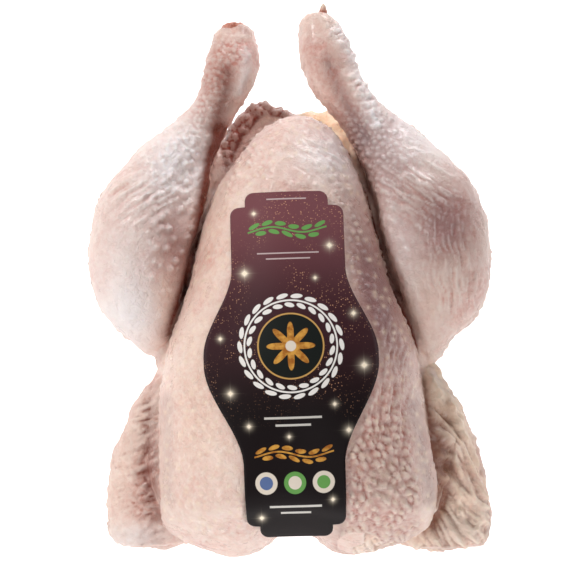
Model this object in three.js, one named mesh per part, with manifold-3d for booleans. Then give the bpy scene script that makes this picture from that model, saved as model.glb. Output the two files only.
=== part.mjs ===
// A whole raw chicken lying on its back, with a die-cut card label on its breast.
// Millimetres, +Z up, +Y from the neck end to the tail and the drumstick ends, +X to the right when
// the bird is seen from above with its neck end nearest. The origin is the middle of the footprint,
// at the height of the surface that the back lies on.

import * as THREE from "three";
import { mergeVertices } from "three/addons/utils/BufferGeometryUtils.js";
import Module from "manifold-3d";

const wasm = await Module();
wasm.setup();

// Driving sizes of the carcass
const BREAST_HALF_WIDTH = 65; // at the shoulders
const BREAST_TOP = 118; // highest point above the surface
const BACK_HALF_WIDTH = 52;
const LOBE_REACH = 3; // how far the two breast lobes stand out past the neck end
const LOBE_SPREAD = 32; // from the middle line to the crown of a lobe
const LOBE_WIDTH = 20;
const CLEFT_DEPTH = 14; // the cleft between the lobes at the neck end
const CLEFT_WIDTH = 14;
const GROOVE_DEPTH = 4; // the same cleft on the top of the breast
const CLEFT_FROM = -70; // the groove starts here and deepens towards the neck end
const NECK_END = -126.5;
const LEFT_WING_SHIFT = [1.5, 0]; // the wings don't lie quite alike
const RIGHT_WING_SHIFT = [5.2, -1.5];

// The middle of the footprint in the coordinates of the stations below
const FOOTPRINT_MIDDLE = [-0.6, 2.7];

// The body cavity, open at the tail end
const CAVITY = { at: [-3, 74, 37], half: [19, 36, 11.5], tilt: 5 };

// The card label
const LABEL_FACING = 70; // degrees above the horizon of the direction it was laid on from
const LABEL_TOP = [-2.6, 64]; // middle of its upper edge, across and along, seen from there
const LABEL_LEAN = 1.85; // degrees, towards +X at the neck end
const LABEL_THICK = 0.8;
const LABEL_GAP = 0.5; // to the skin, so that the two solids stay apart
const LABEL_LENGTH = 160.3;
const LABEL_CORNER = 4; // radius of every corner
const UPPER_TAB = { half: 19, length: 6.8 }; // half-width and length
const LOWER_TAB = { half: 17, length: 6 };
const NECK_HALF = 26; // half-widths down the label
const WAIST_HALF = 40;
const BASE_HALF = 23;
const WIDENS = [36, 76]; // where it swells and narrows, from its upper edge
const NARROWS = [80, 126];

const SKIN = new THREE.MeshStandardMaterial({ color: 0xe6c8ba, roughness: 0.45, metalness: 0 });
const CARD = new THREE.MeshStandardMaterial({ color: 0x3a1a20, roughness: 0.35, metalness: 0 });

// Each soft form is a list of stations. A station is the middle of a section [x, y, z] and the
// section's half-width, its height above the middle and its depth below it.

const B = BREAST_HALF_WIDTH;
const breastStations = [
  [1, NECK_END, 46, 0, 0, 0],
  [1, NECK_END + 1, 47, 0.5 * B, 20, 20],
  [1.5, NECK_END + 5, 49, 0.8 * B, 36, 34],
  [2.5, -117, 51, 0.97 * B, 48, 42],
  [3.5, -103, 52, 1.015 * B, 55, 47],
  [2, -84, 53, B, 61, 50],
  [0, -58, 54, 0.97 * B, 64, 51],
  [0, -33, 55, 0.905 * B, BREAST_TOP - 55, 50],
  [-1.5, -8, 56, 0.77 * B, 61, 48],
  [-2.5, 20, 58, 0.66 * B, 56, 42],
  [-1.5, 42, 60, 0.57 * B, 50, 36],
  [1.5, 60, 63, 0.45 * B, 40, 28],
  [3, 73, 66, 0.31 * B, 27, 19],
  [3, 80.5, 68, 0.16 * B, 14, 11],
  [3, 83.5, 69, 0, 0, 0],
];

const K = BACK_HALF_WIDTH;
const backStations = [
  [0, -110, 31, 0, 0, 0],
  [0, -108, 31, 0.5 * K, 22, 24],
  [0, -88, 32, 0.86 * K, 34, 32],
  [0, -50, 34, K, 36, 36],
  [0, 0, 35, K, 34, 37],
  [0, 40, 36, 0.88 * K, 32, 38],
  [-3, 66, 37, 0.68 * K, 27, 35],
  [-4, 82, 37, 0.5 * K, 22, 32],
  [-4, 95, 37, 0.28 * K, 14, 20],
  [-4, 99, 37, 0, 0, 0],
];

const tailStations = [
  [0, 70, 20, 0, 0, 0],
  [0, 72, 20, 17, 12, 12],
  [0, 88, 20, 17, 11, 11],
  [0, 97, 21, 12, 8, 8],
  [0, 101, 22, 6, 4, 4],
  [0, 102, 22, 0, 0, 0],
];

// The drumstick with its shank, from the knee to the cut ankle
const leftDrumstick = [
  [-63, -31, 48, 0, 0, 0],
  [-64.5, -28, 48, 7, 9, 9],
  [-68, -20, 50, 12, 17, 17],
  [-73, -5, 53, 20.5, 24, 24],
  [-73.5, 13, 56, 25.5, 27, 27],
  [-72, 33, 60, 25.5, 26, 26],
  [-63, 52, 64, 21, 22, 22],
  [-51.5, 67, 68, 15, 16, 16],
  [-40, 83, 72, 10.5, 11, 11],
  [-33, 96, 76, 11.5, 10, 10],
  [-28.5, 109, 79, 13, 10.5, 10.5],
  [-28, 120, 80, 11, 10, 10],
  [-28, 126.5, 80, 8, 7, 7],
  [-28, 128, 80, 0, 0, 0],
];

const rightDrumstick = [
  [63, -34, 48, 0, 0, 0],
  [64.5, -31, 48, 7, 9, 9],
  [68.5, -18, 51, 12.5, 17, 17],
  [73, -3, 53, 20.5, 24, 24],
  [72, 15, 56, 26, 27, 27],
  [70, 32, 59, 26.5, 27, 27],
  [63, 47, 63, 23.5, 25, 25],
  [53, 60, 67, 18.5, 20, 20],
  [42.5, 74, 71, 14, 14.5, 14.5],
  [30, 88, 75, 11, 11, 11],
  [20.5, 102, 78, 12.5, 10.5, 10.5],
  [16, 115, 80.5, 12.5, 11, 11],
  [13.5, 127, 82, 10, 9.5, 9.5],
  [13, 132.5, 82, 7, 6.5, 6.5],
  [13, 134, 82, 0, 0, 0],
];

// The thigh, from the knee under the drumstick back to the hip
const thighStations = [
  [64, -22, 42, 0, 0, 0],
  [65, -19, 42, 8, 10, 11],
  [68, -5, 40, 16, 20, 22],
  [64, 20, 38, 24, 28, 30],
  [54, 46, 37, 25, 30, 31],
  [42, 66, 37, 17, 24, 28],
  [33, 79, 37, 8, 12, 14],
  [31, 83, 37, 0, 0, 0],
];

// The folded wing: upper arm along the breast, forearm outside it, hand turned under the back
const upperArmStations = [
  [48, -112, 42, 0, 0, 0],
  [49, -110, 42, 10, 12, 14],
  [54, -92, 42, 15, 16, 18],
  [58, -65, 41, 13, 15, 16],
  [59, -44, 40, 10, 12, 12],
  [59, -33, 40, 0, 0, 0],
];

const forearmStations = [
  [58, -30, 39, 0, 0, 0],
  [58.5, -33, 39, 6.5, 9, 9],
  [60, -45, 37, 11, 13, 12],
  [64, -58, 34, 15, 14, 13],
  [66.5, -74, 30, 19, 15, 14],
  [68, -92, 25, 22.5, 14, 14],
  [68, -105, 21, 22.5, 12, 13],
  [66.5, -114, 18, 20.5, 9, 10],
  [66, -118, 16, 12, 5, 6],
  [66, -119, 16, 0, 0, 0],
];

const handStations = [
  [84, -104, 13, 0, 0, 0],
  [81, -106, 12, 9, 8, 8],
  [66, -106, 9, 12, 8, 8],
  [46, -98, 6, 11, 7, 7],
  [28, -87, 5, 8, 5, 6],
  [22, -83, 5, 0, 0, 0],
];

// The skin between the breast, the knee and the wing's elbow
const flankStations = [
  [48, -66, 42, 0, 0, 0],
  [50, -58, 42, 9, 13, 14],
  [55.5, -32, 43, 11, 14, 16],
  [57, -8, 44, 11, 14, 16],
  [54, 10, 46, 0, 0, 0],
];

// The belly skin between the breast's tip and the vent, with the fat and the flap round it
const bellyStations = [
  [-4, 50, 45, 0, 0, 0],
  [-4, 54, 45, 28, 12, 10],
  [-5, 72, 47, 25, 10, 10],
  [-8, 85, 49, 17, 7, 9],
  [-11, 93, 50, 9, 5, 7],
  [-11, 95, 50, 0, 0, 0],
];

const rightFatStations = [
  [32, 60, 50, 0, 0, 0],
  [31, 64, 50, 6, 8, 10],
  [27, 76, 51, 8, 9, 12],
  [20, 84, 51, 8, 8, 10],
  [11, 90, 50, 5, 5, 7],
  [5, 92, 49, 0, 0, 0],
];

const leftFlapStations = [
  [-36, 46, 46, 0, 0, 0],
  [-35, 50, 46, 6, 8, 12],
  [-32.5, 66, 47, 6.5, 9, 14],
  [-28, 80, 49, 6, 8, 14],
  [-21.5, 91, 51, 5.5, 7, 12],
  [-13, 95.5, 52, 4.5, 6, 9],
  [-2, 91, 50, 4, 5, 7],
  [6, 86, 49, 0, 0, 0],
];

function mirrored(stations) {
  return stations.map(([x, ...rest]) => [-x, ...rest]);
}

function moved(stations, [east, north]) {
  return stations.map(([x, y, ...rest]) => [x + east, y + north, ...rest]);
}

function smoothstep(value, low, high) {
  return THREE.MathUtils.smoothstep(value, low, high);
}

function bell(value, centre, width) {
  return Math.exp(-(((value - centre) / width) ** 2));
}

// A closed surface through the stations: rings of points across the path, and a point at each end.
// Upright rings stand across Y; the others stand across the path.
function loft(stations, rings, sides, { upright = false, shape = null } = {}) {
  const middles = stations.map(([x, y, z]) => new THREE.Vector3(x, y, z));
  const sizes = stations.map(([, , , wide, high, deep]) => new THREE.Vector3(wide, high, deep));
  const path = new THREE.CatmullRomCurve3(middles, false, "catmullrom", 0.5);
  const section = new THREE.CatmullRomCurve3(sizes, false, "catmullrom", 0.5);
  const vertices = [];
  const side = new THREE.Vector3(1, 0, 0);
  const up = new THREE.Vector3(0, 0, 1);
  const put = (point) => vertices.push(...(shape ? shape(point) : point).toArray());
  put(middles[0].clone());
  for (let i = 1; i <= rings; i++) {
    const u = i / (rings + 1);
    const middle = path.getPoint(u);
    const size = section.getPoint(u);
    if (!upright) {
      const tangent = path.getTangent(u);
      side.set(0, 0, 1).cross(tangent).negate().normalize();
      up.crossVectors(side, tangent).normalize();
    }
    for (let k = 0; k < sides; k++) {
      const angle = (2 * Math.PI * k) / sides;
      const rise = Math.sin(angle);
      put(
        middle
          .clone()
          .addScaledVector(side, size.x * Math.cos(angle))
          .addScaledVector(up, (rise > 0 ? size.y : size.z) * rise),
      );
    }
  }
  put(middles[middles.length - 1].clone());
  const last = 1 + rings * sides;
  const faces = [];
  for (let k = 0; k < sides; k++) {
    const next = (k + 1) % sides;
    faces.push(0, 1 + k, 1 + next);
    for (let i = 0; i < rings - 1; i++) {
      const a = 1 + i * sides;
      const b = a + sides;
      faces.push(a + k, b + k, b + next, a + k, b + next, a + next);
    }
    faces.push(last, last - sides + next, last - sides + k);
  }
  const geometry = new THREE.BufferGeometry();
  geometry.setAttribute("position", new THREE.Float32BufferAttribute(vertices, 3));
  geometry.setIndex(faces);
  return geometry;
}

function solidOf(geometry) {
  const bare = geometry.clone();
  bare.deleteAttribute("normal");
  bare.deleteAttribute("uv");
  const merged = mergeVertices(bare, 1e-4);
  const solid = new wasm.Manifold(
    new wasm.Mesh({
      numProp: 3,
      vertProperties: merged.attributes.position.array,
      triVerts: new Uint32Array(merged.index.array),
    }),
  );
  return solid;
}

function geometryOf(solid) {
  const { vertProperties, triVerts } = solid.getMesh();
  const geometry = new THREE.BufferGeometry();
  geometry.setAttribute("position", new THREE.BufferAttribute(vertProperties, 3));
  geometry.setIndex(new THREE.BufferAttribute(triVerts, 1));
  geometry.computeVertexNormals();
  return geometry;
}

// The two lobes of the breast, which stand out towards the neck end
function shapeLobes(point) {
  const near = 1 - smoothstep(point.y, NECK_END, CLEFT_FROM);
  const lobes = bell(point.x, -LOBE_SPREAD, LOBE_WIDTH) + bell(point.x, LOBE_SPREAD, LOBE_WIDTH);
  point.y -= near ** 3 * LOBE_REACH * lobes;
  return point;
}

// The lobes and the cleft between them
function shapeBreast(point) {
  const near = 1 - smoothstep(point.y, NECK_END, CLEFT_FROM);
  const upper = smoothstep(point.z, 40, 70);
  const cleft = bell(point.x, 2, CLEFT_WIDTH);
  shapeLobes(point);
  point.y += near ** 3 * CLEFT_DEPTH * cleft;
  point.z -= near * upper * GROOVE_DEPTH * cleft;
  return point;
}

function wingForms(place) {
  return [
    loft(place(upperArmStations), 10, 14),
    loft(place(forearmStations), 13, 18),
    loft(place(handStations), 8, 12),
  ];
}

function cavityGeometry() {
  const [wide, long, high] = CAVITY.half;
  const geometry = new THREE.SphereGeometry(1, 20, 12);
  geometry.scale(wide, long, high);
  geometry.rotateX(THREE.MathUtils.degToRad(CAVITY.tilt));
  geometry.translate(...CAVITY.at);
  return geometry;
}

function groundGeometry() {
  const reach = 600;
  return new THREE.BoxGeometry(reach, reach, reach).translate(0, 0, -reach / 2);
}

function chickenGeometry() {
  const forms = [
    loft(backStations, 18, 28, { upright: true }),
    loft(tailStations, 7, 12),
    loft(leftDrumstick, 24, 18),
    loft(rightDrumstick, 24, 18),
    loft(thighStations, 13, 20),
    loft(mirrored(thighStations), 13, 20),
    ...wingForms((stations) => moved(mirrored(stations), LEFT_WING_SHIFT)),
    ...wingForms((stations) => moved(stations, RIGHT_WING_SHIFT)),
    loft(flankStations, 8, 12),
    loft(mirrored(flankStations), 8, 12),
    loft(bellyStations, 8, 14),
    loft(rightFatStations, 9, 12),
    loft(leftFlapStations, 10, 12),
  ];
  let solid = solidOf(loft(breastStations, 30, 36, { upright: true, shape: shapeBreast }));
  for (const form of forms) solid = solid.add(solidOf(form));
  solid = solid.subtract(solidOf(cavityGeometry()));
  solid = solid.subtract(solidOf(groundGeometry()));
  return geometryOf(solid);
}

// How far a rounded corner cuts into a side at this distance from its end
function cornerCut(distance) {
  const left = Math.max(LABEL_CORNER - distance, 0);
  return LABEL_CORNER - Math.sqrt(LABEL_CORNER ** 2 - left ** 2);
}

function labelHalfWidth(along) {
  const fromEnd = LABEL_LENGTH - along;
  if (along < UPPER_TAB.length) return UPPER_TAB.half - cornerCut(along);
  if (fromEnd < LOWER_TAB.length) return LOWER_TAB.half - cornerCut(fromEnd);
  const swell = (WAIST_HALF - NECK_HALF) * smoothstep(along, ...WIDENS);
  const shrink = (WAIST_HALF - BASE_HALF) * smoothstep(along, ...NARROWS);
  const upper = cornerCut(along - UPPER_TAB.length);
  const lower = cornerCut(fromEnd - LOWER_TAB.length);
  return NECK_HALF + swell - shrink - upper - lower;
}

// The label's rows: distance from its upper edge and half-width there, close together in the corners
function labelOutline() {
  const corner = [0, 0.08, 0.3, 0.6, 1].map((part) => part * LABEL_CORNER);
  const shoulder = UPPER_TAB.length;
  const hip = LABEL_LENGTH - LOWER_TAB.length;
  const step = 0.3;
  const middle = 26;
  const alongs = [...corner, shoulder - step, ...corner.map((part) => shoulder + part)];
  for (let i = 1; i < middle; i++) {
    const span = hip - shoulder - 2 * LABEL_CORNER;
    alongs.push(shoulder + LABEL_CORNER + (span * i) / middle);
  }
  const ends = corner.toReversed();
  alongs.push(...ends.map((part) => hip - part), hip + step);
  alongs.push(...ends.map((part) => LABEL_LENGTH - part));
  return alongs.map((along) => [along, labelHalfWidth(along)]);
}

// The middle sheet of the label: the outline laid down on the breast along one direction. The card
// bridges the cleft, so it is laid on the lobes alone.
function labelSheet() {
  const across = 12;
  const fine = loft(breastStations, 60, 96, { upright: true, shape: shapeLobes });
  const support = new THREE.Mesh(fine, new THREE.MeshBasicMaterial());
  const facing = THREE.MathUtils.degToRad(LABEL_FACING);
  const lean = THREE.MathUtils.degToRad(LABEL_LEAN);
  const inward = new THREE.Vector3(0, Math.cos(facing), -Math.sin(facing));
  const viewUp = new THREE.Vector3(0, Math.sin(facing), Math.cos(facing));
  const ray = new THREE.Raycaster();
  return labelOutline().map(([along, half]) => {
    const row = [];
    for (let k = 0; k <= across; k++) {
      const aside = half * ((2 * k) / across - 1);
      const east = LABEL_TOP[0] + aside * Math.cos(lean) + along * Math.sin(lean);
      const north = LABEL_TOP[1] + aside * Math.sin(lean) - along * Math.cos(lean);
      const start = new THREE.Vector3(east, 0, 0)
        .addScaledVector(viewUp, north)
        .addScaledVector(inward, -300);
      ray.set(start, inward);
      row.push(ray.intersectObject(support)[0].point);
    }
    return row;
  });
}

function labelGeometry() {
  const sheet = labelSheet();
  const rows = sheet.length;
  const columns = sheet[0].length;
  const at = (i, k) =>
    sheet[THREE.MathUtils.clamp(i, 0, rows - 1)][THREE.MathUtils.clamp(k, 0, columns - 1)];
  const vertices = [];
  for (const offset of [LABEL_GAP, LABEL_GAP + LABEL_THICK]) {
    for (let i = 0; i < rows; i++) {
      for (let k = 0; k < columns; k++) {
        const east = at(i, k + 1).clone().sub(at(i, k - 1));
        const south = at(i + 1, k).clone().sub(at(i - 1, k));
        const out = south.cross(east).normalize();
        vertices.push(...at(i, k).clone().addScaledVector(out, offset).toArray());
      }
    }
  }
  const layer = rows * columns;
  const faces = [];
  const quad = (a, b, c, d) => faces.push(a, b, c, a, c, d);
  for (let i = 0; i < rows - 1; i++) {
    for (let k = 0; k < columns - 1; k++) {
      const a = i * columns + k;
      quad(a, a + 1, a + columns + 1, a + columns);
      quad(layer + a, layer + a + columns, layer + a + columns + 1, layer + a + 1);
    }
    const left = i * columns;
    const right = left + columns - 1;
    quad(left, left + columns, layer + left + columns, layer + left);
    quad(right, layer + right, layer + right + columns, right + columns);
  }
  const last = (rows - 1) * columns;
  for (let k = 0; k < columns - 1; k++) {
    quad(k, layer + k, layer + k + 1, k + 1);
    quad(last + k, last + k + 1, layer + last + k + 1, layer + last + k);
  }
  const geometry = new THREE.BufferGeometry();
  geometry.setAttribute("position", new THREE.Float32BufferAttribute(vertices, 3));
  geometry.setIndex(faces);
  geometry.computeVertexNormals();
  return geometry;
}

const chicken = new THREE.Mesh(chickenGeometry(), SKIN);
chicken.name = "chicken";
const label = new THREE.Mesh(labelGeometry(), CARD);
label.name = "label";

const bird = new THREE.Group();
bird.add(chicken, label);
for (const mesh of bird.children) mesh.position.set(-FOOTPRINT_MIDDLE[0], -FOOTPRINT_MIDDLE[1], 0);

export default bird;
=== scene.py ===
"""A whole raw chicken on its back, with a printed card label on its breast.

Sizes in the tables and formulas are millimetres, in the same coordinates as the solids; they become
metres when a mesh is filled. +Y runs from the neck end to the drumstick ends, +Z up. The relief and the
tints of the side that a camera above the neck end sees are placed in dots of the camera's picture.
"""

import bpy
import numpy as np
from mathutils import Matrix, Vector


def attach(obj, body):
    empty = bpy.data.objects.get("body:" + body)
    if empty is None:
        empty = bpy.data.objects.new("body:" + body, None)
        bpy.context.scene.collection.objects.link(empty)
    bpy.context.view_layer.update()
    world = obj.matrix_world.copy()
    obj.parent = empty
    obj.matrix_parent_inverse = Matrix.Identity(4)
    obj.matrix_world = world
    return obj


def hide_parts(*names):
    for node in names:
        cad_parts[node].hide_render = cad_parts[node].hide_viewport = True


bl_info = {
    "name": "Whole raw chicken",
    "version": (1, 0, 0),
    "blender": (4, 5, 0),
    "location": "3D View > Sidebar > Chicken",
    "description": "Builds a whole raw chicken's skin, its cut shank ends and the card label on it",
    "category": "Add Mesh",
}

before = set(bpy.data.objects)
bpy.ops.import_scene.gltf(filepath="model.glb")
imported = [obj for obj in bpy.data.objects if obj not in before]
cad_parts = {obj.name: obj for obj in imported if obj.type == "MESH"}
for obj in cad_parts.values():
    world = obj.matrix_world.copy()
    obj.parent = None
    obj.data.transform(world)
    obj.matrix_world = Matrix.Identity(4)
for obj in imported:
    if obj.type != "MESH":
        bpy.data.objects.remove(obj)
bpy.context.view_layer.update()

MM = 0.001
FOOTPRINT_MIDDLE = np.array([-0.6, 2.7, 0.0])  # the frame's origin among the stations below

# Stations: the middle of a section x, y, z, then its half-width, height and depth

BREAST_HALF = 65.0  # half-width at the shoulders
BACK_HALF = 52.0
BREAST_TOP = 118.0
NECK_END = -126.5
LOBE_REACH, LOBE_SPREAD, LOBE_WIDTH = 3.0, 32.0, 20.0
CLEFT_DEPTH, CLEFT_WIDTH, GROOVE_DEPTH, CLEFT_FROM = 14.0, 14.0, 4.0, -70.0
LEFT_WING_SHIFT = (1.5, 0.0)
RIGHT_WING_SHIFT = (5.2, -1.5)

BREAST = [
    [1, NECK_END, 46, 0, 0, 0],
    [1, NECK_END + 1, 47, 0.5 * BREAST_HALF, 20, 20],
    [1.5, NECK_END + 5, 49, 0.8 * BREAST_HALF, 36, 34],
    [2.5, -117, 51, 0.97 * BREAST_HALF, 48, 42],
    [3.5, -103, 52, 1.015 * BREAST_HALF, 55, 47],
    [2, -84, 53, BREAST_HALF, 61, 50],
    [0, -58, 54, 0.97 * BREAST_HALF, 64, 51],
    [0.5, -33, 55, 0.915 * BREAST_HALF, BREAST_TOP - 55, 50],
    [-0.5, -8, 56, 0.785 * BREAST_HALF, 61, 48],
    [-1.5, 20, 58, 0.675 * BREAST_HALF, 56, 42],
    [-1, 42, 60, 0.58 * BREAST_HALF, 50, 36],
    [1.5, 60, 63, 0.45 * BREAST_HALF, 40, 28],
    [3, 73, 66, 0.31 * BREAST_HALF, 27, 19],
    [3, 80.5, 68, 0.16 * BREAST_HALF, 14, 11],
    [3, 83.5, 69, 0, 0, 0],
]
BACK = [
    [0, -110, 31, 0, 0, 0],
    [0, -108, 31, 0.5 * BACK_HALF, 22, 24],
    [0, -88, 32, 0.86 * BACK_HALF, 34, 32],
    [0, -50, 34, BACK_HALF, 36, 36],
    [0, 0, 35, BACK_HALF, 34, 37],
    [0, 40, 36, 0.88 * BACK_HALF, 32, 38],
    [-3, 66, 37, 0.68 * BACK_HALF, 27, 35],
    [-4, 82, 37, 0.5 * BACK_HALF, 22, 32],
    [-4, 95, 37, 0.28 * BACK_HALF, 14, 20],
    [-4, 99, 37, 0, 0, 0],
]
TAIL = [
    [0, 70, 20, 0, 0, 0],
    [0, 72, 20, 17, 12, 12],
    [0, 88, 20, 17, 11, 11],
    [0, 97, 21, 12, 8, 8],
    [0, 101, 22, 6, 4, 4],
    [0, 102, 22, 0, 0, 0],
]
LEFT_DRUMSTICK = [
    [-63, -31, 48, 0, 0, 0],
    [-64.5, -28, 48, 7, 9, 9],
    [-68, -20, 50, 12, 17, 17],
    [-73, -5, 53, 20.5, 24, 24],
    [-73.5, 13, 56, 25.5, 27, 27],
    [-72, 33, 60, 25.5, 26, 26],
    [-63, 52, 64, 21, 22, 22],
    [-51.5, 67, 68, 15, 16, 16],
    [-40, 83, 72, 10.5, 11, 11],
    [-33, 96, 76, 11.5, 10, 10],
    [-28.5, 109, 79, 13, 10.5, 10.5],
    [-28, 120, 80, 11, 10, 10],
    [-28, 126.5, 80, 8, 7, 7],
    [-28, 128, 80, 0, 0, 0],
]
RIGHT_DRUMSTICK = [
    [63, -34, 48, 0, 0, 0],
    [64.5, -31, 48, 7, 9, 9],
    [68.5, -18, 51, 12.5, 17, 17],
    [73, -3, 53, 20.5, 24, 24],
    [72, 15, 56, 26, 27, 27],
    [70, 32, 59, 26.5, 27, 27],
    [63, 47, 63, 23.5, 25, 25],
    [53, 60, 67, 18.5, 20, 20],
    [42.5, 74, 71, 14, 14.5, 14.5],
    [30, 88, 75, 11, 11, 11],
    [20.5, 102, 78, 12.5, 10.5, 10.5],
    [16, 115, 80.5, 12.5, 11, 11],
    [13.5, 127, 82, 10, 9.5, 9.5],
    [13, 132.5, 82, 7, 6.5, 6.5],
    [13, 134, 82, 0, 0, 0],
]
THIGH = [
    [64, -22, 42, 0, 0, 0],
    [65, -19, 42, 8, 10, 11],
    [68, -5, 40, 16, 20, 22],
    [64, 20, 38, 24, 28, 30],
    [54, 46, 37, 25, 30, 31],
    [42, 66, 37, 17, 24, 28],
    [33, 79, 37, 8, 12, 14],
    [31, 83, 37, 0, 0, 0],
]
UPPER_ARM = [
    [48, -112, 42, 0, 0, 0],
    [49, -110, 42, 10, 12, 14],
    [54, -92, 42, 15, 16, 18],
    [58, -65, 41, 13, 15, 16],
    [59, -44, 40, 10, 12, 12],
    [59, -33, 40, 0, 0, 0],
]
FOREARM = [
    [58, -30, 39, 0, 0, 0],
    [58.5, -33, 39, 6.5, 9, 9],
    [60, -45, 37, 11, 13, 12],
    [64, -58, 34, 15, 14, 13],
    [66.5, -74, 30, 19, 15, 14],
    [68, -92, 25, 22.5, 14, 14],
    [68, -105, 21, 22.5, 12, 13],
    [66.5, -114, 18, 20.5, 9, 10],
    [66, -118, 16, 12, 5, 6],
    [66, -119, 16, 0, 0, 0],
]
HAND = [
    [84, -104, 13, 0, 0, 0],
    [81, -106, 12, 9, 8, 8],
    [66, -106, 9, 12, 8, 8],
    [46, -98, 6, 11, 7, 7],
    [28, -87, 5, 8, 5, 6],
    [22, -83, 5, 0, 0, 0],
]
FLANK = [
    [48, -66, 42, 0, 0, 0],
    [50, -58, 42, 9, 13, 14],
    [55.5, -32, 43, 11, 14, 16],
    [57, -8, 44, 11, 14, 16],
    [54, 10, 46, 0, 0, 0],
]
BELLY = [
    [-4, 50, 45, 0, 0, 0],
    [-4, 54, 45, 28, 12, 10],
    [-5, 72, 47, 25, 10, 10],
    [-8, 85, 49, 17, 7, 9],
    [-11, 93, 50, 9, 5, 7],
    [-11, 95, 50, 0, 0, 0],
]
RIGHT_FAT = [
    [32, 60, 50, 0, 0, 0],
    [31, 64, 50, 6, 8, 10],
    [27, 76, 51, 8, 9, 12],
    [20, 84, 51, 8, 8, 10],
    [11, 90, 50, 5, 5, 7],
    [5, 92, 49, 0, 0, 0],
]
LEFT_FLAP = [
    [-36, 46, 46, 0, 0, 0],
    [-35, 50, 46, 6, 8, 12],
    [-32.5, 66, 47, 6.5, 9, 14],
    [-28, 80, 49, 6, 8, 14],
    [-21.5, 91, 51, 5.5, 7, 12],
    [-13, 95.5, 52, 4.5, 6, 9],
    [-2, 91, 50, 4, 5, 7],
    [6, 86, 49, 0, 0, 0],
]
CAVITY_AT, CAVITY_HALF, CAVITY_TILT = (-3, 74, 37), (19, 36, 11.5), 5.0
CAVITY_FADE = (1.02, 1.12)  # its red inside fades between these, as shares of its half-sizes

# The inner edges of the thighs, rolled against the breast
RIGHT_LIP = [
    [40, 74, 68, 0, 0, 0],
    [41, 70, 69, 5, 6, 8],
    [46, 60, 72, 8, 8, 11],
    [50, 46, 73, 9, 9, 13],
    [53.2, 28, 71, 9.5, 9.5, 14],
    [57.5, 11, 68, 9.5, 9.5, 14],
    [62.5, -4, 63, 9, 8.5, 14],
    [66, -18, 57, 7, 7, 12],
    [67, -26, 54, 0, 0, 0],
]
LEFT_LIP = [
    [-42, 72, 68, 0, 0, 0],
    [-43, 69, 69, 5, 6, 8],
    [-46, 60, 71, 7, 7, 10],
    [-49.5, 43, 70, 8.5, 8.5, 13],
    [-57.3, 18, 67, 9, 9, 14],
    [-63, -6, 61, 9, 8.5, 14],
    [-66, -23, 54, 6, 6, 10],
    [-67, -28, 52, 0, 0, 0],
]

# Lumps of fat beside the vent: middle and half-sizes
FAT_LUMPS = [
    ([9, 91, 52], [7, 5, 5]),
    ([17, 88.5, 54], [6, 6, 5]),
    ([22, 83, 56], [6.5, 6, 5.5]),
    ([27.5, 78, 56], [6.5, 7, 6]),
    ([24, 73, 60], [5, 7, 5]),
    ([31, 71, 56], [5, 8, 6]),
]

# The picture that the places below are read in: square, in dots, seen from above the neck end
PICTURE_WIDTH = 586
PICTURE_MIDDLE = PICTURE_WIDTH / 2
DOTS_PER_MM = 2.05
VIEW_ELEVATION = np.radians(70.0)
VIEW_DISTANCE = 1400.0
VIEW_TARGET = np.array([0.73, -1.33, 52.7])
SENSOR_WIDTH = 36.0  # the camera's, in millimetres

# Ovals of the picture, in dots: middle x and y, radii along them, turn in degrees
SPOTS = {
    "lobe upper": (392, 362, 24, 42, -15),
    "lobe middle": (388, 420, 24, 34, 0),
    "right flank": (352, 225, 17, 78, -12),
    "right flank low": (380, 300, 24, 72, -14),
    "left shoulder": (250, 165, 34, 24, -30),
    "tip": (326, 154, 34, 24, 18),
    "tip middle": (300, 130, 50, 30, 0),
    "foot": (238, 540, 52, 26, 0),
    "left foot": (190, 505, 30, 34, 0),
    "left side": (195, 400, 40, 100, 0),
    "left side top": (212, 235, 22, 60, 12),
    "vent left": (245, 140, 62, 62, 0),
    "vent right": (335, 132, 42, 34, 0),
    "left thigh bumps": (176, 230, 30, 58, 8),
    "left thigh top": (180, 165, 34, 44, 20),
    "left thigh lines": (138, 196, 36, 40, 0),
    "left thigh shade": (174, 238, 26, 42, -12),
    "left thigh outside": (128, 275, 34, 66, 0),
    "left thigh low": (132, 318, 40, 34, 0),
    "left thigh foot": (172, 312, 14, 34, -18),
    "left shank": (217, 85, 18, 45, 0),
    "left knob": (232, 28, 8, 8, 0),
    "left knob side": (236, 50, 26, 26, 0),
    "right thigh top": (374, 150, 34, 48, -25),
    "right thigh arcs": (415, 184, 36, 30, 25),
    "right thigh lines": (452, 268, 34, 66, -8),
    "right thigh inside": (398, 245, 22, 66, -14),
    "right thigh dip": (434, 216, 30, 22, 20),
    "right thigh shade": (446, 224, 36, 44, 0),
    "right thigh outside": (425, 120, 46, 60, 40),
    "right shank": (333, 76, 15, 62, -14),
    "left wing inside": (153, 462, 16, 75, 0),
    "left wing low": (136, 536, 32, 16, 0),
    "right wing inside": (442, 465, 11, 60, 0),
    "right wing low": (450, 530, 36, 18, 0),
    "right wing top": (441, 384, 16, 32, -25),
}

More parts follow.
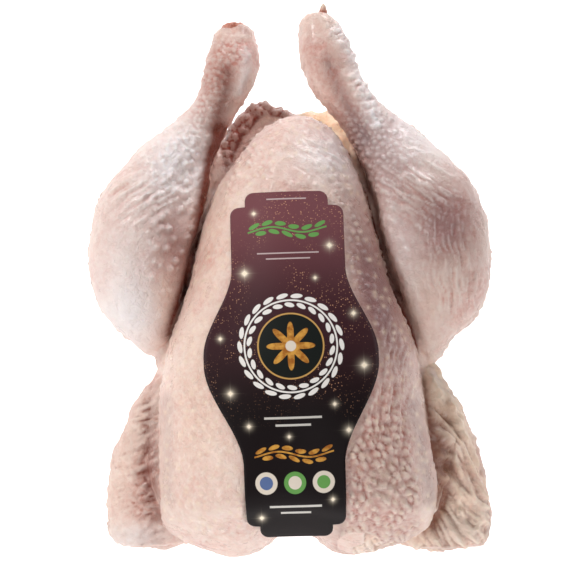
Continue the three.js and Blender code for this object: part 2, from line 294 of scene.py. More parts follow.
# Broken lines of the picture: the width that each fades over, then its points
LINES = {
    "left shank ridge": (15, [(232, 50), (219, 75), (206, 108), (190, 135)]),
    "left shank groove": (8, [(230, 72), (228, 90), (223, 108), (215, 128)]),
    "left shank shine": (6, [(247, 52), (245, 74), (240, 92)]),
    "left knob fold": (4, [(216, 52), (224, 44), (238, 41), (250, 50)]),
    "left cut rim": (3.5, [(224, 27), (236, 23), (246, 31)]),
    "left crease": (
        6,
        [(222, 132), (213, 152), (206, 190), (198, 240), (190, 270), (180, 302), (171, 334)],
    ),
    "left lobe edge": (7, [(167, 400), (168, 500)]),
    "right shank ridge": (11, [(338, 30), (350, 48), (357, 70), (366, 96), (376, 122)]),
    "right shank groove": (6, [(330, 62), (338, 84), (352, 112), (364, 140)]),
    "right crease": (
        8,
        [(352, 150), (365, 172), (370, 200), (375, 225), (379, 242), (386, 262), (394, 285), (402, 305)]
        + [(415, 342)],
    ),
    "right lobe edge": (8, [(414, 405), (424, 450), (431, 498)]),
    "right wing crease": (8, [(420, 385), (428, 425), (434, 465), (437, 500), (430, 525)]),
    "right wing roll": (
        5,
        [(421, 372), (431, 392), (436, 412), (440, 429), (452, 446), (462, 466), (474, 500)],
    ),
    "right wing fold 1": (5, [(426, 361), (438, 371), (451, 387)]),
    "right wing fold 2": (5, [(425, 371), (438, 386), (449, 400), (457, 412)]),
    "right wing fold 3": (5, [(429, 383), (441, 401), (452, 414), (463, 427)]),
    "right wing fold 4": (5, [(452, 409), (464, 423), (472, 441)]),
    "right wing fold 5": (5, [(441, 434), (452, 443), (460, 455)]),
    "right wing fold 6": (5, [(462, 449), (472, 469), (478, 489), (484, 511), (486, 524)]),
    "right wing fold 7": (5, [(438, 454), (455, 460), (464, 474), (470, 494)]),
    "right wing fold 8": (5, [(446, 478), (456, 492), (462, 512)]),
}
RIGHT_WING_FOLDS = [name for name in LINES if name.startswith("right wing fold")]

# The right lobe's bumps, in dots: they begin between two heights and two sides and end at a smooth
# stripe. Their rows fall LOBE_TURN degrees
LOBE_TOP, LOBE_LEFT = (350, 440), (325, 345)
STRIPE_AT, STRIPE_LEAN, STRIPE_EDGE = (408, 400), 0.11, 7
LOBE_TURN = 60.0

# The right wing's warm skin begins between these, in dots from the left
WING_EDGE = (405, 425)

# The card in the picture, in dots: half-widths at heights, its middle and lean, and its two ends
CARD_HEIGHTS = [190, 204, 207, 270, 330, 352, 372, 420, 455, 520, 534]
CARD_HALVES = [40, 44, 56, 55, 82, 88, 86, 66, 51, 49, 40]
CARD_MIDDLE, CARD_LEAN = (288, 192), 0.027
CARD_TOP, CARD_FOOT, CARD_EDGE = (184, 191), (532, 540), 7

# Tints of the skin in the picture, painted shade and painted light among them: form, oval or line,
# strength and, where a line is taken narrower or wider than it is above, by how much
TINTS = {
    "blush_and_shade": [
        # painted shade, redder, on the right thigh's shaded side
        ("right_leg", "right thigh shade", 0.4),
        ("right_leg", "right shank", 0.45),
        # painted shade, redder, on the right thigh's top and on the left thigh's shaded side
        ("right_leg", "right thigh top", 0.85),
        ("left_leg", "left thigh shade", 0.35),
        ("left_leg", "left shank", 0.4),
        ("left_leg", "left knob side", 0.3),
        ("right_wing", "right wing low", 0.35),
        # painted shade, redder, on the shaded right flank
        ("breast", "right flank low", 0.5),
        ("breast", "tip middle", 0.3),
        ("breast", "left side top", 0.3),
        ("breast", "left side", 0.15),
    ],
    "cream_and_light": [
        ("breast", "left side", 0.35),
        ("breast", "left side top", 0.3),
        ("left_leg", "left thigh low", 0.25),
        ("left_leg", "left thigh foot", 0.5),
        ("left_wing", "left wing low", 0.4),
        ("right_wing", "right wing top", 0.4),
    ],
    "mauve_and_shade": [
        # mauve, partly painted shade, along the lobes' edges by the wing creases
        ("breast", "right lobe edge", 0.5),
        ("breast", "left lobe edge", 0.3),
        # painted shade on the right flank, the thighs' shaded sides, the right thigh's top and in the
        # right shank's groove
        ("breast", "right flank low", 1.05),
        ("breast", "right flank", 0.35),
        ("left_leg", "left thigh shade", 0.65),
        ("right_leg", "right thigh shade", 0.9),
        ("right_leg", "right thigh top", 0.65),
        ("right_leg", "right shank groove", 0.4, 1.4),
    ],
    "brown_and_shade": [
        # painted shade in the left shank's groove
        ("left_leg", "left shank groove", 0.45),
        ("left_leg", "left shank", 0.36),
        # painted shade in the left crease between the thigh and the breast
        ("left_leg", "left crease", 1.2, 1.4),
        ("breast", "left crease", 0.6, 0.5),
        ("right_leg", "right shank", 0.12),
        # painted shade in the right crease and on the shaded right flank
        ("right_leg", "right crease", 0.8, 0.5),
        ("breast", "right flank", 0.15),
        ("breast", "lobe upper", 0.15),
        # painted shade in the right wing's crease beside the breast
        ("right_wing", "right wing crease", 1.1),
        ("right_wing", "right wing inside", 1.1),
    ],
    "pallor_and_light": [
        # painted light on the left thigh's lit top, rim and lower side, and a painted highlight along the
        # left shank
        ("left_leg", "left thigh top", 1.0),
        ("left_leg", "left thigh outside", 0.5),
        ("left_leg", "left thigh low", 0.6),
        ("left_leg", "left shank shine", 0.4),
        # painted light on the right thigh's lit outer and inner sides, and a painted highlight on the
        # right shank's ridge
        ("right_leg", "right thigh outside", 0.7),
        ("right_leg", "right thigh inside", 0.4),
        ("right_leg", "right shank ridge", 0.5, 0.7),
        # painted light on the breast's lit tip and on the wings' lit parts
        ("breast", "tip", 0.55),
        ("left_wing", "left wing low", 0.6),
        ("right_wing", "right wing top", 0.3),
        ("right_wing", "right wing low", 0.3),
    ],
    "red": [("left_leg", "left cut rim", 0.5)],
}


def mirrored(stations):
    """Stations of the same form on the bird's other side."""
    return [[-row[0], *row[1:]] for row in stations]


def moved(stations, shift):
    """Stations moved along x and y."""
    return [[row[0] + shift[0], row[1] + shift[1], *row[2:]] for row in stations]


# Curves, lofts and noise


def smoothstep(low, high, value):
    """0 below low, 1 above high, and 3t^2 - 2t^3 between them."""
    t = np.clip((value - low) / (high - low), 0.0, 1.0)
    return t * t * (3 - 2 * t)


def bell(value, centre, width):
    """exp(-((value - centre) / width)^2)."""
    return np.exp(-(((value - centre) / width) ** 2))


def spline(rows, u):
    """The uniform Catmull-Rom curve through rows at u in 0..1, and its slope, with mirrored ends."""
    p = np.asarray(rows, float)
    q = np.vstack([2 * p[0] - p[1], p, 2 * p[-1] - p[-2]])
    t = np.clip(u, 0, 1) * (len(p) - 1)
    i = np.minimum(t.astype(int), len(p) - 2)
    w = (t - i)[:, None]
    a, b, c, d = q[i], q[i + 1], q[i + 2], q[i + 3]
    lin, quad, cube = c - a, 2 * a - 5 * b + 4 * c - d, 3 * (b - c) + d - a
    value = b + 0.5 * w * (lin + w * (quad + w * cube))
    slope = 0.5 * (lin + w * (2 * quad + 3 * w * cube))
    return value, slope


def unit(vectors):
    """Vectors of length 1 in the same directions."""
    return vectors / np.maximum(np.linalg.norm(vectors, axis=-1, keepdims=True), 1e-9)


def frames(stations, count, upright):
    """Middles, sizes and the side, up and along directions at count + 2 places down the path."""
    u = np.linspace(0, 1, count + 2)
    value, slope = spline(stations, u)
    middle, size = value[:, :3], np.maximum(value[:, 3:], 0)
    along = unit(slope[:, :3])
    if upright:
        side = np.tile([1.0, 0, 0], (len(u), 1))
        up = np.tile([0, 0, 1.0], (len(u), 1))
    else:
        side = unit(np.stack([along[:, 1], -along[:, 0], 0 * u], 1))
        up = unit(np.cross(side, along))
    return middle, size, side, up, along


def loft(stations, rings, sides, upright=False, shape=None):
    """Rings middle + side * width * cos(a) + up * height * sin(a) down the path, closed by a point
    at each end. Returns the points and the faces as quads and triangles."""
    middle, size, side, up, _ = frames(stations, rings, upright)
    a = np.linspace(0, 2 * np.pi, sides, endpoint=False)
    cos, sin = np.cos(a)[None, :, None], np.sin(a)[None, :, None]
    tall = np.where(sin > 0, size[:, None, 1:2], size[:, None, 2:3])
    grid = middle[:, None] + side[:, None] * size[:, None, 0:1] * cos + up[:, None] * tall * sin
    points = np.vstack([middle[:1], grid[1:-1].reshape(-1, 3), middle[-1:]])
    if shape:
        points = shape(points)
    i, k = np.meshgrid(np.arange(rings - 1), np.arange(sides), indexing="ij")
    nxt = (k + 1) % sides
    at = 1 + i * sides
    quads = np.stack([at + k, at + sides + k, at + sides + nxt, at + nxt], -1).reshape(-1, 4)
    k = np.arange(sides)
    nxt = (k + 1) % sides
    last = 1 + rings * sides
    first_fan = np.stack([0 * k, 1 + k, 1 + nxt], -1)
    last_fan = np.stack([0 * k + last, last - sides + nxt, last - sides + k], -1)
    return points, quads, np.vstack([first_fan, last_fan])


def shape_lobes(p):
    """The breast's two lobes stand out towards the neck end."""
    near = 1 - smoothstep(NECK_END, CLEFT_FROM, p[:, 1])
    lobes = bell(p[:, 0], -LOBE_SPREAD, LOBE_WIDTH) + bell(p[:, 0], LOBE_SPREAD, LOBE_WIDTH)
    p = p.copy()
    p[:, 1] -= near**3 * LOBE_REACH * lobes
    return p


def shape_breast(p):
    """The lobes stand out towards the neck end and the cleft between them falls back."""
    near = 1 - smoothstep(NECK_END, CLEFT_FROM, p[:, 1])
    upper = smoothstep(40, 70, p[:, 2])
    cleft = bell(p[:, 0], 2, CLEFT_WIDTH)
    p = shape_lobes(p)
    p[:, 1] += near**3 * CLEFT_DEPTH * cleft
    p[:, 2] -= near * upper * GROOVE_DEPTH * cleft
    return p


# Large odd numbers that scatter whole numbers over 32 bits
SEED_SCATTER, STEP_SCATTER = 2654435761, 2654435769
AXIS_SCATTER = (374761393, 668265263, 2246822519)


def lattice(cell, seed):
    """A repeatable number from 0 to 1 for each whole-numbered cell."""
    h = np.full(cell.shape[:-1], seed * SEED_SCATTER % 2**32, np.uint64)
    for axis, prime in zip(range(cell.shape[-1]), AXIS_SCATTER):
        h = (h ^ (cell[..., axis].astype(np.int64).astype(np.uint64) * np.uint64(prime))) & 0xFFFFFFFF
        h = (h * np.uint64(STEP_SCATTER)) & np.uint64(0xFFFFFFFF)
        h ^= h >> np.uint64(15)
    return (h & np.uint64(0xFFFFFF)).astype(float) / 0xFFFFFF


def noise(p, size, seed=0):
    """Value noise from -1 to 1: random numbers at the corners of cells of this size, blended by
    t^3 (6t^2 - 15t + 10) along each axis."""
    q = np.asarray(p) / size
    cell = np.floor(q).astype(np.int64)
    t = q - cell
    t = t**3 * (6 * t * t - 15 * t + 10)
    total = 0.0
    for corner in np.ndindex(*(2,) * q.shape[-1]):
        weight = np.prod(np.where(corner, t, 1 - t), axis=-1)
        total = total + weight * lattice(cell + np.array(corner), seed)
    return 2 * total - 1


def fbm(p, size, octaves=3, seed=0):
    """Noise added up at sizes halved, with heights halved, each time."""
    return sum(noise(p, size / 2**i, seed + 17 * i) / 2**i for i in range(octaves))


ROW_STEP = 0.866  # between two rows of a staggered lattice, as a share of its pitch


def pimples(u, v, pitch, jitter=0.25, seed=0):
    """Feather follicles on a staggered lattice over u, v: the distance to the nearest one and a
    random number from 0 to 1 that belongs to it."""
    row = np.floor(v / (pitch * ROW_STEP))
    best = np.full(u.shape, 1e9)
    tag = np.zeros(u.shape)
    for dr in (-1, 0, 1):
        r = row + dr
        lean = 0.5 * np.mod(r, 2)
        col = np.floor(u / pitch - lean)
        for dc in (-1, 0, 1):
            c = col + dc
            cell = np.stack([c, r], -1)
            jx = (lattice(cell, seed) - 0.5) * 2 * jitter
            jy = (lattice(cell, seed + 5) - 0.5) * 2 * jitter
            x = (c + lean + 0.5 + jx) * pitch
            y = (r + 0.5 + jy) * pitch * ROW_STEP
            d = np.hypot(u - x, v - y)
            nearer = d < best
            best = np.where(nearer, d, best)
            tag = np.where(nearer, lattice(cell, seed + 9), tag)
    return best, tag


# Meshes


def fill_mesh(name, points, quads, tris=None, smooth=True):
    """A mesh from millimetre points, an array of quads and an array of triangles."""
    tris = np.zeros((0, 3), int) if tris is None else tris
    quads = np.zeros((0, 4), int) if quads is None else quads
    loops = np.concatenate([quads.ravel(), tris.ravel()]).astype(np.int32)
    starts = np.concatenate([np.arange(len(quads)) * 4, quads.size + np.arange(len(tris)) * 3])
    mesh = bpy.data.meshes.new(name)
    mesh.vertices.add(len(points))
    mesh.vertices.foreach_set("co", ((points - FOOTPRINT_MIDDLE) * MM).ravel().astype(np.float32))
    mesh.loops.add(len(loops))
    mesh.loops.foreach_set("vertex_index", loops)
    mesh.polygons.add(len(starts))
    mesh.polygons.foreach_set("loop_start", starts.astype(np.int32))
    mesh.update(calc_edges=True)
    mesh.validate()
    if smooth:
        mesh.shade_smooth()
    return mesh


def add_object(name, mesh):
    """Puts the mesh in the scene as an object."""
    thing = bpy.data.objects.new(name, mesh)
    bpy.context.scene.collection.objects.link(thing)
    return thing


def read_points(mesh):
    """The mesh's points in millimetres, in the coordinates of the stations."""
    co = np.empty(len(mesh.vertices) * 3, np.float32)
    mesh.vertices.foreach_get("co", co)
    return co.reshape(-1, 3).astype(float) / MM + FOOTPRINT_MIDDLE


def write_points(mesh, points):
    """Puts millimetre points back into the mesh."""
    mesh.vertices.foreach_set("co", ((points - FOOTPRINT_MIDDLE) * MM).ravel().astype(np.float32))
    mesh.update()


def read_normals(mesh):
    """The normals of the mesh's points."""
    n = np.empty(len(mesh.vertices) * 3, np.float32)
    mesh.vertices.foreach_get("normal", n)
    return n.reshape(-1, 3).astype(float)


def bake_modifiers(thing):
    """Replaces the object's mesh by what its modifiers make of it."""
    graph = bpy.context.evaluated_depsgraph_get()
    made = bpy.data.meshes.new_from_object(thing.evaluated_get(graph))
    old = thing.data
    thing.modifiers.clear()
    thing.data = made
    bpy.data.meshes.remove(old)
    return made


def set_colours(mesh, name, values):
    """Stores four numbers from 0 to 1 on each point as a colour attribute."""
    layer = mesh.color_attributes.new(name=name, type="FLOAT_COLOR", domain="POINT")
    layer.data.foreach_set("color", np.clip(values, 0, 1).ravel().astype(np.float32))


def edges_of(mesh):
    """The two points of each edge."""
    e = np.empty(len(mesh.edges) * 2, np.int32)
    mesh.edges.foreach_get("vertices", e)
    return e.reshape(-1, 2)


def relax(points, edges, rounds, amount=0.5, mask=None):
    """Each round moves every point part of the way to the mean of its neighbours."""
    count = len(points)
    a, b = edges[:, 0], edges[:, 1]
    degree = np.bincount(a, minlength=count) + np.bincount(b, minlength=count)
    pull = amount if mask is None else amount * mask[:, None]
    for _ in range(rounds):
        mean = np.stack(
            [
                np.bincount(a, points[b, i], count) + np.bincount(b, points[a, i], count)
                for i in range(points.shape[1])
            ],
            1,
        ) / degree[:, None]
        points = points + pull * (mean - points)
    return points


# The bird's skin


def lump(at, half):
    """Stations of an ellipsoid along Y."""
    steps = np.radians([0, 30, 60, 90, 120, 150, 180])
    x, y, z = at
    return [
        [x, y - half[1] * np.cos(a), z, half[0] * np.sin(a), half[2] * np.sin(a), half[2] * np.sin(a)]
        for a in steps
    ]


def wing_forms(shift, left):
    """Stations of a wing's three parts, mirrored for the left wing."""
    parts = [UPPER_ARM, FOREARM, HAND]
    if left:
        parts = [mirrored(rows) for rows in parts]
    return [moved(rows, shift) for rows in parts]


# Forms that fuse into the skin: name, stations, rings, sides, whether the rings stand upright, shape
FORMS = [
    ("breast", BREAST, 110, 120, True, shape_breast),
    ("back", BACK, 60, 80, True, None),
    ("tail", TAIL, 24, 36, False, None),
    ("left_leg", LEFT_DRUMSTICK, 80, 60, False, None),
    ("right_leg", RIGHT_DRUMSTICK, 80, 60, False, None),
    ("left_leg", LEFT_LIP, 50, 30, False, None),
    ("right_leg", RIGHT_LIP, 50, 30, False, None),
    ("right_thigh", THIGH, 40, 50, False, None),
    ("left_thigh", mirrored(THIGH), 40, 50, False, None),
    *[("left_wing", rows, 40, 48, False, None) for rows in wing_forms(LEFT_WING_SHIFT, True)],
    *[("right_wing", rows, 40, 48, False, None) for rows in wing_forms(RIGHT_WING_SHIFT, False)],
    ("flank", FLANK, 24, 32, False, None),
    ("flank", mirrored(FLANK), 24, 32, False, None),
    ("belly", BELLY, 24, 36, False, None),
    ("fat", RIGHT_FAT, 24, 30, False, None),
    ("flap", LEFT_FLAP, 30, 30, False, None),
    *[("fat", lump(at, half), 20, 24, True, None) for at, half in FAT_LUMPS],
]


PATH_STEPS = 58  # places down a form's path that a point is compared with


def locate(p, stations, upright):
    """For each point: how far out it lies between the form's middle (0) and its surface (1), the
    distance round the form in millimetres from its top, and the distance along its path."""
    middle, size, side, up, along = frames(stations, PATH_STEPS, upright)
    step = np.linalg.norm(np.diff(middle, axis=0), axis=1)
    run = np.concatenate([[0], np.cumsum(step)])
    if upright:
        t = np.interp(p[:, 1], middle[:, 1], np.arange(len(middle)))
        i = np.clip(t.astype(int), 0, len(middle) - 2)
        w = (t - i)[:, None]
        mid = middle[i] * (1 - w) + middle[i + 1] * w
        siz = size[i] * (1 - w) + size[i + 1] * w
        a, b, s = p[:, 0] - mid[:, 0], p[:, 2] - mid[:, 2], p[:, 1] - middle[0, 1]
    else:
        best = np.full(len(p), 1e18)
        near = np.zeros(len(p), int)
        for j in range(len(middle)):
            d = ((p - middle[j]) ** 2).sum(1)
            hit = d < best
            best[hit] = d[hit]
            near[hit] = j
        delta = p - middle[near]
        siz = size[near]
        a = (delta * side[near]).sum(1)
        b = (delta * up[near]).sum(1)
        s = run[near] + (delta * along[near]).sum(1)
    wide = np.maximum(siz[:, 0], 2.0)
    tall = np.maximum(np.where(b > 0, siz[:, 1], siz[:, 2]), 2.0)
    rho = np.hypot(a / wide, b / tall)
    angle = np.arctan2(a / wide, b / tall)
    return rho, angle * 0.5 * (wide + tall), s


def picture_place(p):
    """Where a point falls in the picture: x to the right and y down, in dots."""
    d = p - VIEW_TARGET
    rise = d[:, 1] * np.sin(VIEW_ELEVATION) + d[:, 2] * np.cos(VIEW_ELEVATION)
    toward = -d[:, 1] * np.cos(VIEW_ELEVATION) + d[:, 2] * np.sin(VIEW_ELEVATION)
    scale = DOTS_PER_MM * VIEW_DISTANCE / (VIEW_DISTANCE - toward)
    return PICTURE_MIDDLE + d[:, 0] * scale, PICTURE_MIDDLE - rise * scale


class Picture:
    """The named places of the picture, seen from each point of the skin."""

    def __init__(self, p):
        self.x, self.y = picture_place(p)

    def spot(self, name):
        """exp(-r^2) over the named oval."""
        cx, cy, rx, ry, turn = SPOTS[name]
        c, s = np.cos(np.radians(turn)), np.sin(np.radians(turn))
        dx, dy = self.x - cx, self.y - cy
        return np.exp(-(((dx * c + dy * s) / rx) ** 2) - ((dy * c - dx * s) / ry) ** 2)

    def line(self, name, narrow=1.0, sway=0.0):
        """exp(-(d / width)^2) with d the distance to the named broken line; narrow scales the width
        and sway shifts the places."""
        width, points = LINES[name]
        x, y = self.x + sway, self.y + 0.5 * sway
        best = np.full(x.shape, 1e9)
        for (ax, ay), (bx, by) in zip(points[:-1], points[1:]):
            step_x, step_y = bx - ax, by - ay
            t = ((x - ax) * step_x + (y - ay) * step_y) / (step_x**2 + step_y**2)
            t = np.clip(t, 0, 1)
            best = np.minimum(best, np.hypot(x - ax - t * step_x, y - ay - t * step_y))
        return np.exp(-((best / (width * narrow)) ** 2))

    def tint(self, name, shares):
        """The named tint's strength over its ovals and lines, each on the form that it belongs to."""
        total = 0.0
        for form, where, strength, *narrow in TINTS[name]:
            place = self.line(where, *narrow) if where in LINES else self.spot(where)
            total = total + strength * shares[form] * place
        return total

    def lobe(self):
        """1 on the bumpy part of the right lobe and 0 beside it."""
        stripe = STRIPE_AT[0] + (self.y - STRIPE_AT[1]) * STRIPE_LEAN
        beside = 1 - smoothstep(-STRIPE_EDGE, STRIPE_EDGE, self.x - stripe)
        return smoothstep(*LOBE_TOP, self.y) * smoothstep(*LOBE_LEFT, self.x) * beside

    def card(self):
        """1 under the card, fading to 0 about 3 mm outside its outline."""
        half = np.interp(self.y, CARD_HEIGHTS, CARD_HALVES)
        middle = CARD_MIDDLE[0] + CARD_LEAN * (self.y - CARD_MIDDLE[1])
        inside = 1 - smoothstep(0, CARD_EDGE, np.abs(self.x - middle) - half)
        return inside * smoothstep(*CARD_TOP, self.y) * (1 - smoothstep(*CARD_FOOT, self.y))


# A form counts this far out where it isn't worked out, its box is this much larger than its stations,
# and two forms blend over this share of their size
OUT_OF_REACH, REACH_SCALE, REACH_EXTRA, FORM_BLEND = 9.0, 1.1, 4.0, 0.05


class Region:
    """Which form each point of the skin belongs to, and its place round and along that form."""

    def __init__(self, p):
        rho = np.full((len(FORMS), len(p)), OUT_OF_REACH)
        around = np.zeros(rho.shape)
        along = np.zeros(rho.shape)
        for i, (_, stations, _, _, upright, _) in enumerate(FORMS):
            rows = np.array(stations, float)
            reach = rows[:, 3:].max() * REACH_SCALE + REACH_EXTRA
            low, high = rows[:, :3].min(0) - reach, rows[:, :3].max(0) + reach
            near = np.flatnonzero(np.all((p > low) & (p < high), axis=1))
            rho[i, near], around[i, near], along[i, near] = locate(p[near], stations, upright)
        least = rho.min(0)
        weight = np.exp(-(rho - least) / FORM_BLEND)
        weight /= weight.sum(0)
        owner = rho.argmin(0)
        pick = np.arange(len(p))
        self.round = around[owner, pick]
        self.along = along[owner, pick]
        self.share = {}
        for i, form in enumerate(FORMS):
            self.share[form[0]] = self.share.get(form[0], 0) + weight[i]

    def of(self, *names):
        """How much each point belongs to the named forms, from 0 to 1."""
        return sum(self.share[name] for name in names)


def inside_cavity(p):
    """1 inside the body cavity's ellipsoid, fading to 0 a little outside it."""
    tilt = np.radians(CAVITY_TILT)
    d = p - np.array(CAVITY_AT)
    y = d[:, 1] * np.cos(tilt) + d[:, 2] * np.sin(tilt)
    z = -d[:, 1] * np.sin(tilt) + d[:, 2] * np.cos(tilt)
    r = np.sqrt((d[:, 0] / CAVITY_HALF[0]) ** 2 + (y / CAVITY_HALF[1]) ** 2 + (z / CAVITY_HALF[2]) ** 2)
    return 1 - smoothstep(*CAVITY_FADE, r)


def drawn_out(x, y, turn, across, along, seed, octaves=2):
    """Noise stretched along lines that fall this many degrees below the x direction."""
    c, s = np.cos(np.radians(turn)), np.sin(np.radians(turn))
    return fbm(np.stack([(x * c + y * s) / along, (y * c - x * s) / across], -1), 1.0, octaves, seed)


def domes(u, v, pitch, radius, jitter=0.25, seed=0, least=0.0):
    """Round bumps from 0 to about 1 on a staggered lattice; those whose random number is below
    least are left out."""
    d, tag = pimples(u, v, pitch, jitter, seed)
    wide = radius * (0.8 + 0.4 * tag)
    return np.exp(-((d / wide) ** 2)) * (0.5 + 0.65 * tag) * (tag >= least)


def towards_view(normal, low=-0.05, high=0.25):
    """1 where the picture shows the surface, 0 where it faces away: low and high are the cosines
    between which it fades."""
    view = np.array([0, -np.cos(VIEW_ELEVATION), np.sin(VIEW_ELEVATION)])
    return smoothstep(low, high, normal @ view)


def breast_relief(p, picture, u, v):
    """Staggered bumps on the right lobe with fine lines above them, small bumps on the right flank and
    the left shoulder, wrinkles at the tip and low bumps at the foot."""
    spot = picture.spot
    turn = np.radians(LOBE_TURN)
    down, across = u * np.cos(turn) + v * np.sin(turn), v * np.cos(turn) - u * np.sin(turn)
    wave = 0.7 * noise(np.stack([u / 8, v / 8], -1), 1.0, 33)
    bumps = domes((down + wave) * 0.84, (across - wave) * 1.1, 4.2, 1.6, 0.4, 31)
    lobe = picture.lobe()
    uneven = 1.35 + 0.2 * noise(np.stack([u / 11, v / 11], -1), 1.0, 37)
    h = lobe * (uneven * (bumps - 0.3) + 0.5 * fbm(p, 5, 2, 35))
    band = np.clip(spot("lobe upper") + 0.6 * spot("lobe middle"), 0, 1)
    h += 1.0 * band * drawn_out(u, v, 97, 1.7, 8.0, 47)
    small = domes(u, v, 3.9, 1.3, 0.25, 53, 0.15)
    sides = np.clip(spot("right flank") + 0.9 * spot("left shoulder"), 0, 1)
    h += 1.25 * sides * (small - 0.2)
    h += 0.9 * spot("tip") * drawn_out(u, v, 28, 1.8, 8.0, 59)
    foot = np.clip(spot("foot") + 0.5 * spot("left foot"), 0, 1)
    h += 0.95 * foot * (domes(u, v, 4.7, 1.6, 0.25, 61) - 0.25)
    h += 0.45 * domes(u, v, 4.4, 1.2, 0.3, 67, 0.35) * (1 - lobe)
    return h


def left_leg_relief(p, picture, u, v):
    """Bumps and lines of the left thigh, and the grain, the groove and the smooth strip of its shank."""
    spot, line = picture.spot, picture.line
    warts = domes(u, v, 5.3, 1.5, 0.36, 71, 0.22)
    fine = domes(u, v, 3.6, 1.2, 0.36, 73, 0.2)
    h = 2.0 * spot("left thigh bumps") * (warts - 0.1)
    h += 1.5 * spot("left thigh top") * (fine - 0.15)
    h += 0.5 * spot("left thigh top") * drawn_out(u, v, 48, 1.7, 7.0, 75)
    h += 0.75 * spot("left thigh lines") * drawn_out(u, v, -32, 1.5, 9.0, 77)
    h += 0.8 * spot("left thigh foot") * (domes(u, v, 4.4, 1.5, 0.3, 79) - 0.2)
    grain = domes(u, v, 3.0, 1.2, 0.3, 81) + 0.4 * drawn_out(u, v, 20, 1.6, 4.0, 83)
    h += 1.1 * line("left shank ridge") * (grain - 0.3)
    h -= 1.6 * line("left shank groove")
    h += 1.1 * line("left shank shine")
    h -= 0.6 * line("left knob fold")
    return h


def right_leg_relief(p, picture, u, v):
    """Scales on the right shank's ridge and its groove, then the thigh's bumps, arcs, lines and dip."""
    spot, line = picture.spot, picture.line
    scales = domes(u, v, 3.8, 1.6, 0.32, 89) + 0.4 * drawn_out(u, v, -25, 1.7, 4.0, 97)
    ridge = line("right shank ridge")
    h = 0.9 * ridge + 1.6 * ridge * (scales - 0.35)
    h -= 1.5 * line("right shank groove")
    h += 1.7 * spot("right thigh top") * (domes(u, v, 3.3, 1.3, 0.3, 101) - 0.25)
    h += 1.8 * spot("right thigh arcs") * drawn_out(u, v, 32, 2.0, 9.0, 103)
    sway = 1.5 * noise(np.stack([u / 9, v / 9], -1), 1.0, 105)
    h += 0.7 * spot("right thigh lines") * drawn_out(u + sway, v, 86, 1.5, 9.0, 107)
    loose = 0.7 * fbm(p, 5, 2, 109) + 0.5 * domes(u, v, 4.6, 1.3, 0.35, 110, 0.3)
    h += spot("right thigh inside") * loose
    h -= 1.8 * spot("right thigh dip")
    return h


def right_wing_relief(p, picture, u, v):
    """The right wing's named folds with finer ones between them, all bent by one slow noise."""
    bend = 3.0 * noise(np.stack([u / 14, v / 14], -1), 1.0, 113)
    sway = 2.0 * bend + 1.2 * fbm(p, 6, 1, 115)
    h = sum(1.9 * picture.line(name, 0.9, sway) for name in RIGHT_WING_FOLDS)
    h += 1.8 * picture.line("right wing roll", 1.0, sway)
    h -= 2.2 * picture.line("right wing crease")
    h += 1.7 * drawn_out(u, v + bend, 52, 3.0, 14.0, 133)
    return h + 0.5 * fbm(p, 5.0, 2, 131) - 0.9


def left_wing_relief(p, picture, u, v):
    """Fine slanted folds, deeper on the wing's inner side."""
    bend = 3.0 * noise(np.stack([u / 14, v / 14], -1), 1.0, 139)
    inner = 0.4 + 0.9 * picture.spot("left wing inside")
    return inner * (0.75 * drawn_out(u, v + bend, 158, 2.2, 8.0, 141) + 0.5 * fbm(p, 4.5, 2, 149))


# How far the left shank's end is flattened, and how far the card presses the skin in
KNOB_FLAT, CARD_PRESS = 2.0, 0.35


def skin_relief(p, normal, region):
    """Height of the skin's relief at each point, in millimetres along its normal: broad and fine
    noise all over, and the bumps, wrinkles and folds of each part of the bird."""
    picture = Picture(p)
    u, v = picture.x / DOTS_PER_MM, picture.y / DOTS_PER_MM
    around, along = region.round, region.along
    seen = towards_view(normal)
    breast, wings = region.of("breast"), region.of("left_wing", "right_wing")
    rest = region.of("back", "tail", "belly", "flank", "left_thigh", "right_thigh")

    calm = 1 - 0.5 * breast
    h = calm * (0.8 * fbm(p, 30, 2, 3) + 0.5 * fbm(p, 12, 2, 11)) + 0.2 * fbm(p, 3.2, 2, 23)

    # skin that the picture doesn't show: small follicles and loose wrinkles
    plain = domes(around, along, 5.0, 1.4, 0.3, 41, 0.25)
    h += (1 - seen) * (0.8 * plain + 0.45 * drawn_out(around, along, 20, 3.0, 12, 43))
    h += rest * seen * 0.7 * plain
    h += (1 - seen) * wings * 0.9 * drawn_out(around, along, 75, 4.0, 14, 157)

    left_leg, right_leg = region.of("left_leg"), region.of("right_leg")
    left_wing, right_wing = region.of("left_wing"), region.of("right_wing")
    facing = towards_view(normal, 0.25, 0.75)
    h += breast * seen * breast_relief(p, picture, u, v)
    h += left_leg * (seen * left_leg_relief(p, picture, u, v) - KNOB_FLAT * picture.spot("left knob"))
    h += right_leg * seen * right_leg_relief(p, picture, u, v)
    h += left_wing * facing * left_wing_relief(p, picture, u, v)
    h += right_wing * seen * right_wing_relief(p, picture, u, v)
    h += wings * 0.25 * (domes(u, v, 3.0, 1.1, 0.36, 151) - 0.2)
    h += region.of("flap") * (1.9 * domes(u, v, 4.2, 1.8, 0.45, 163) - 0.8 + 0.7 * fbm(p, 4.5, 2, 167))
    h += region.of("fat") * 0.7 * fbm(p, 8, 1, 173)

    cover = picture.card() * seen * breast
    return h * (1 - cover) - CARD_PRESS * cover


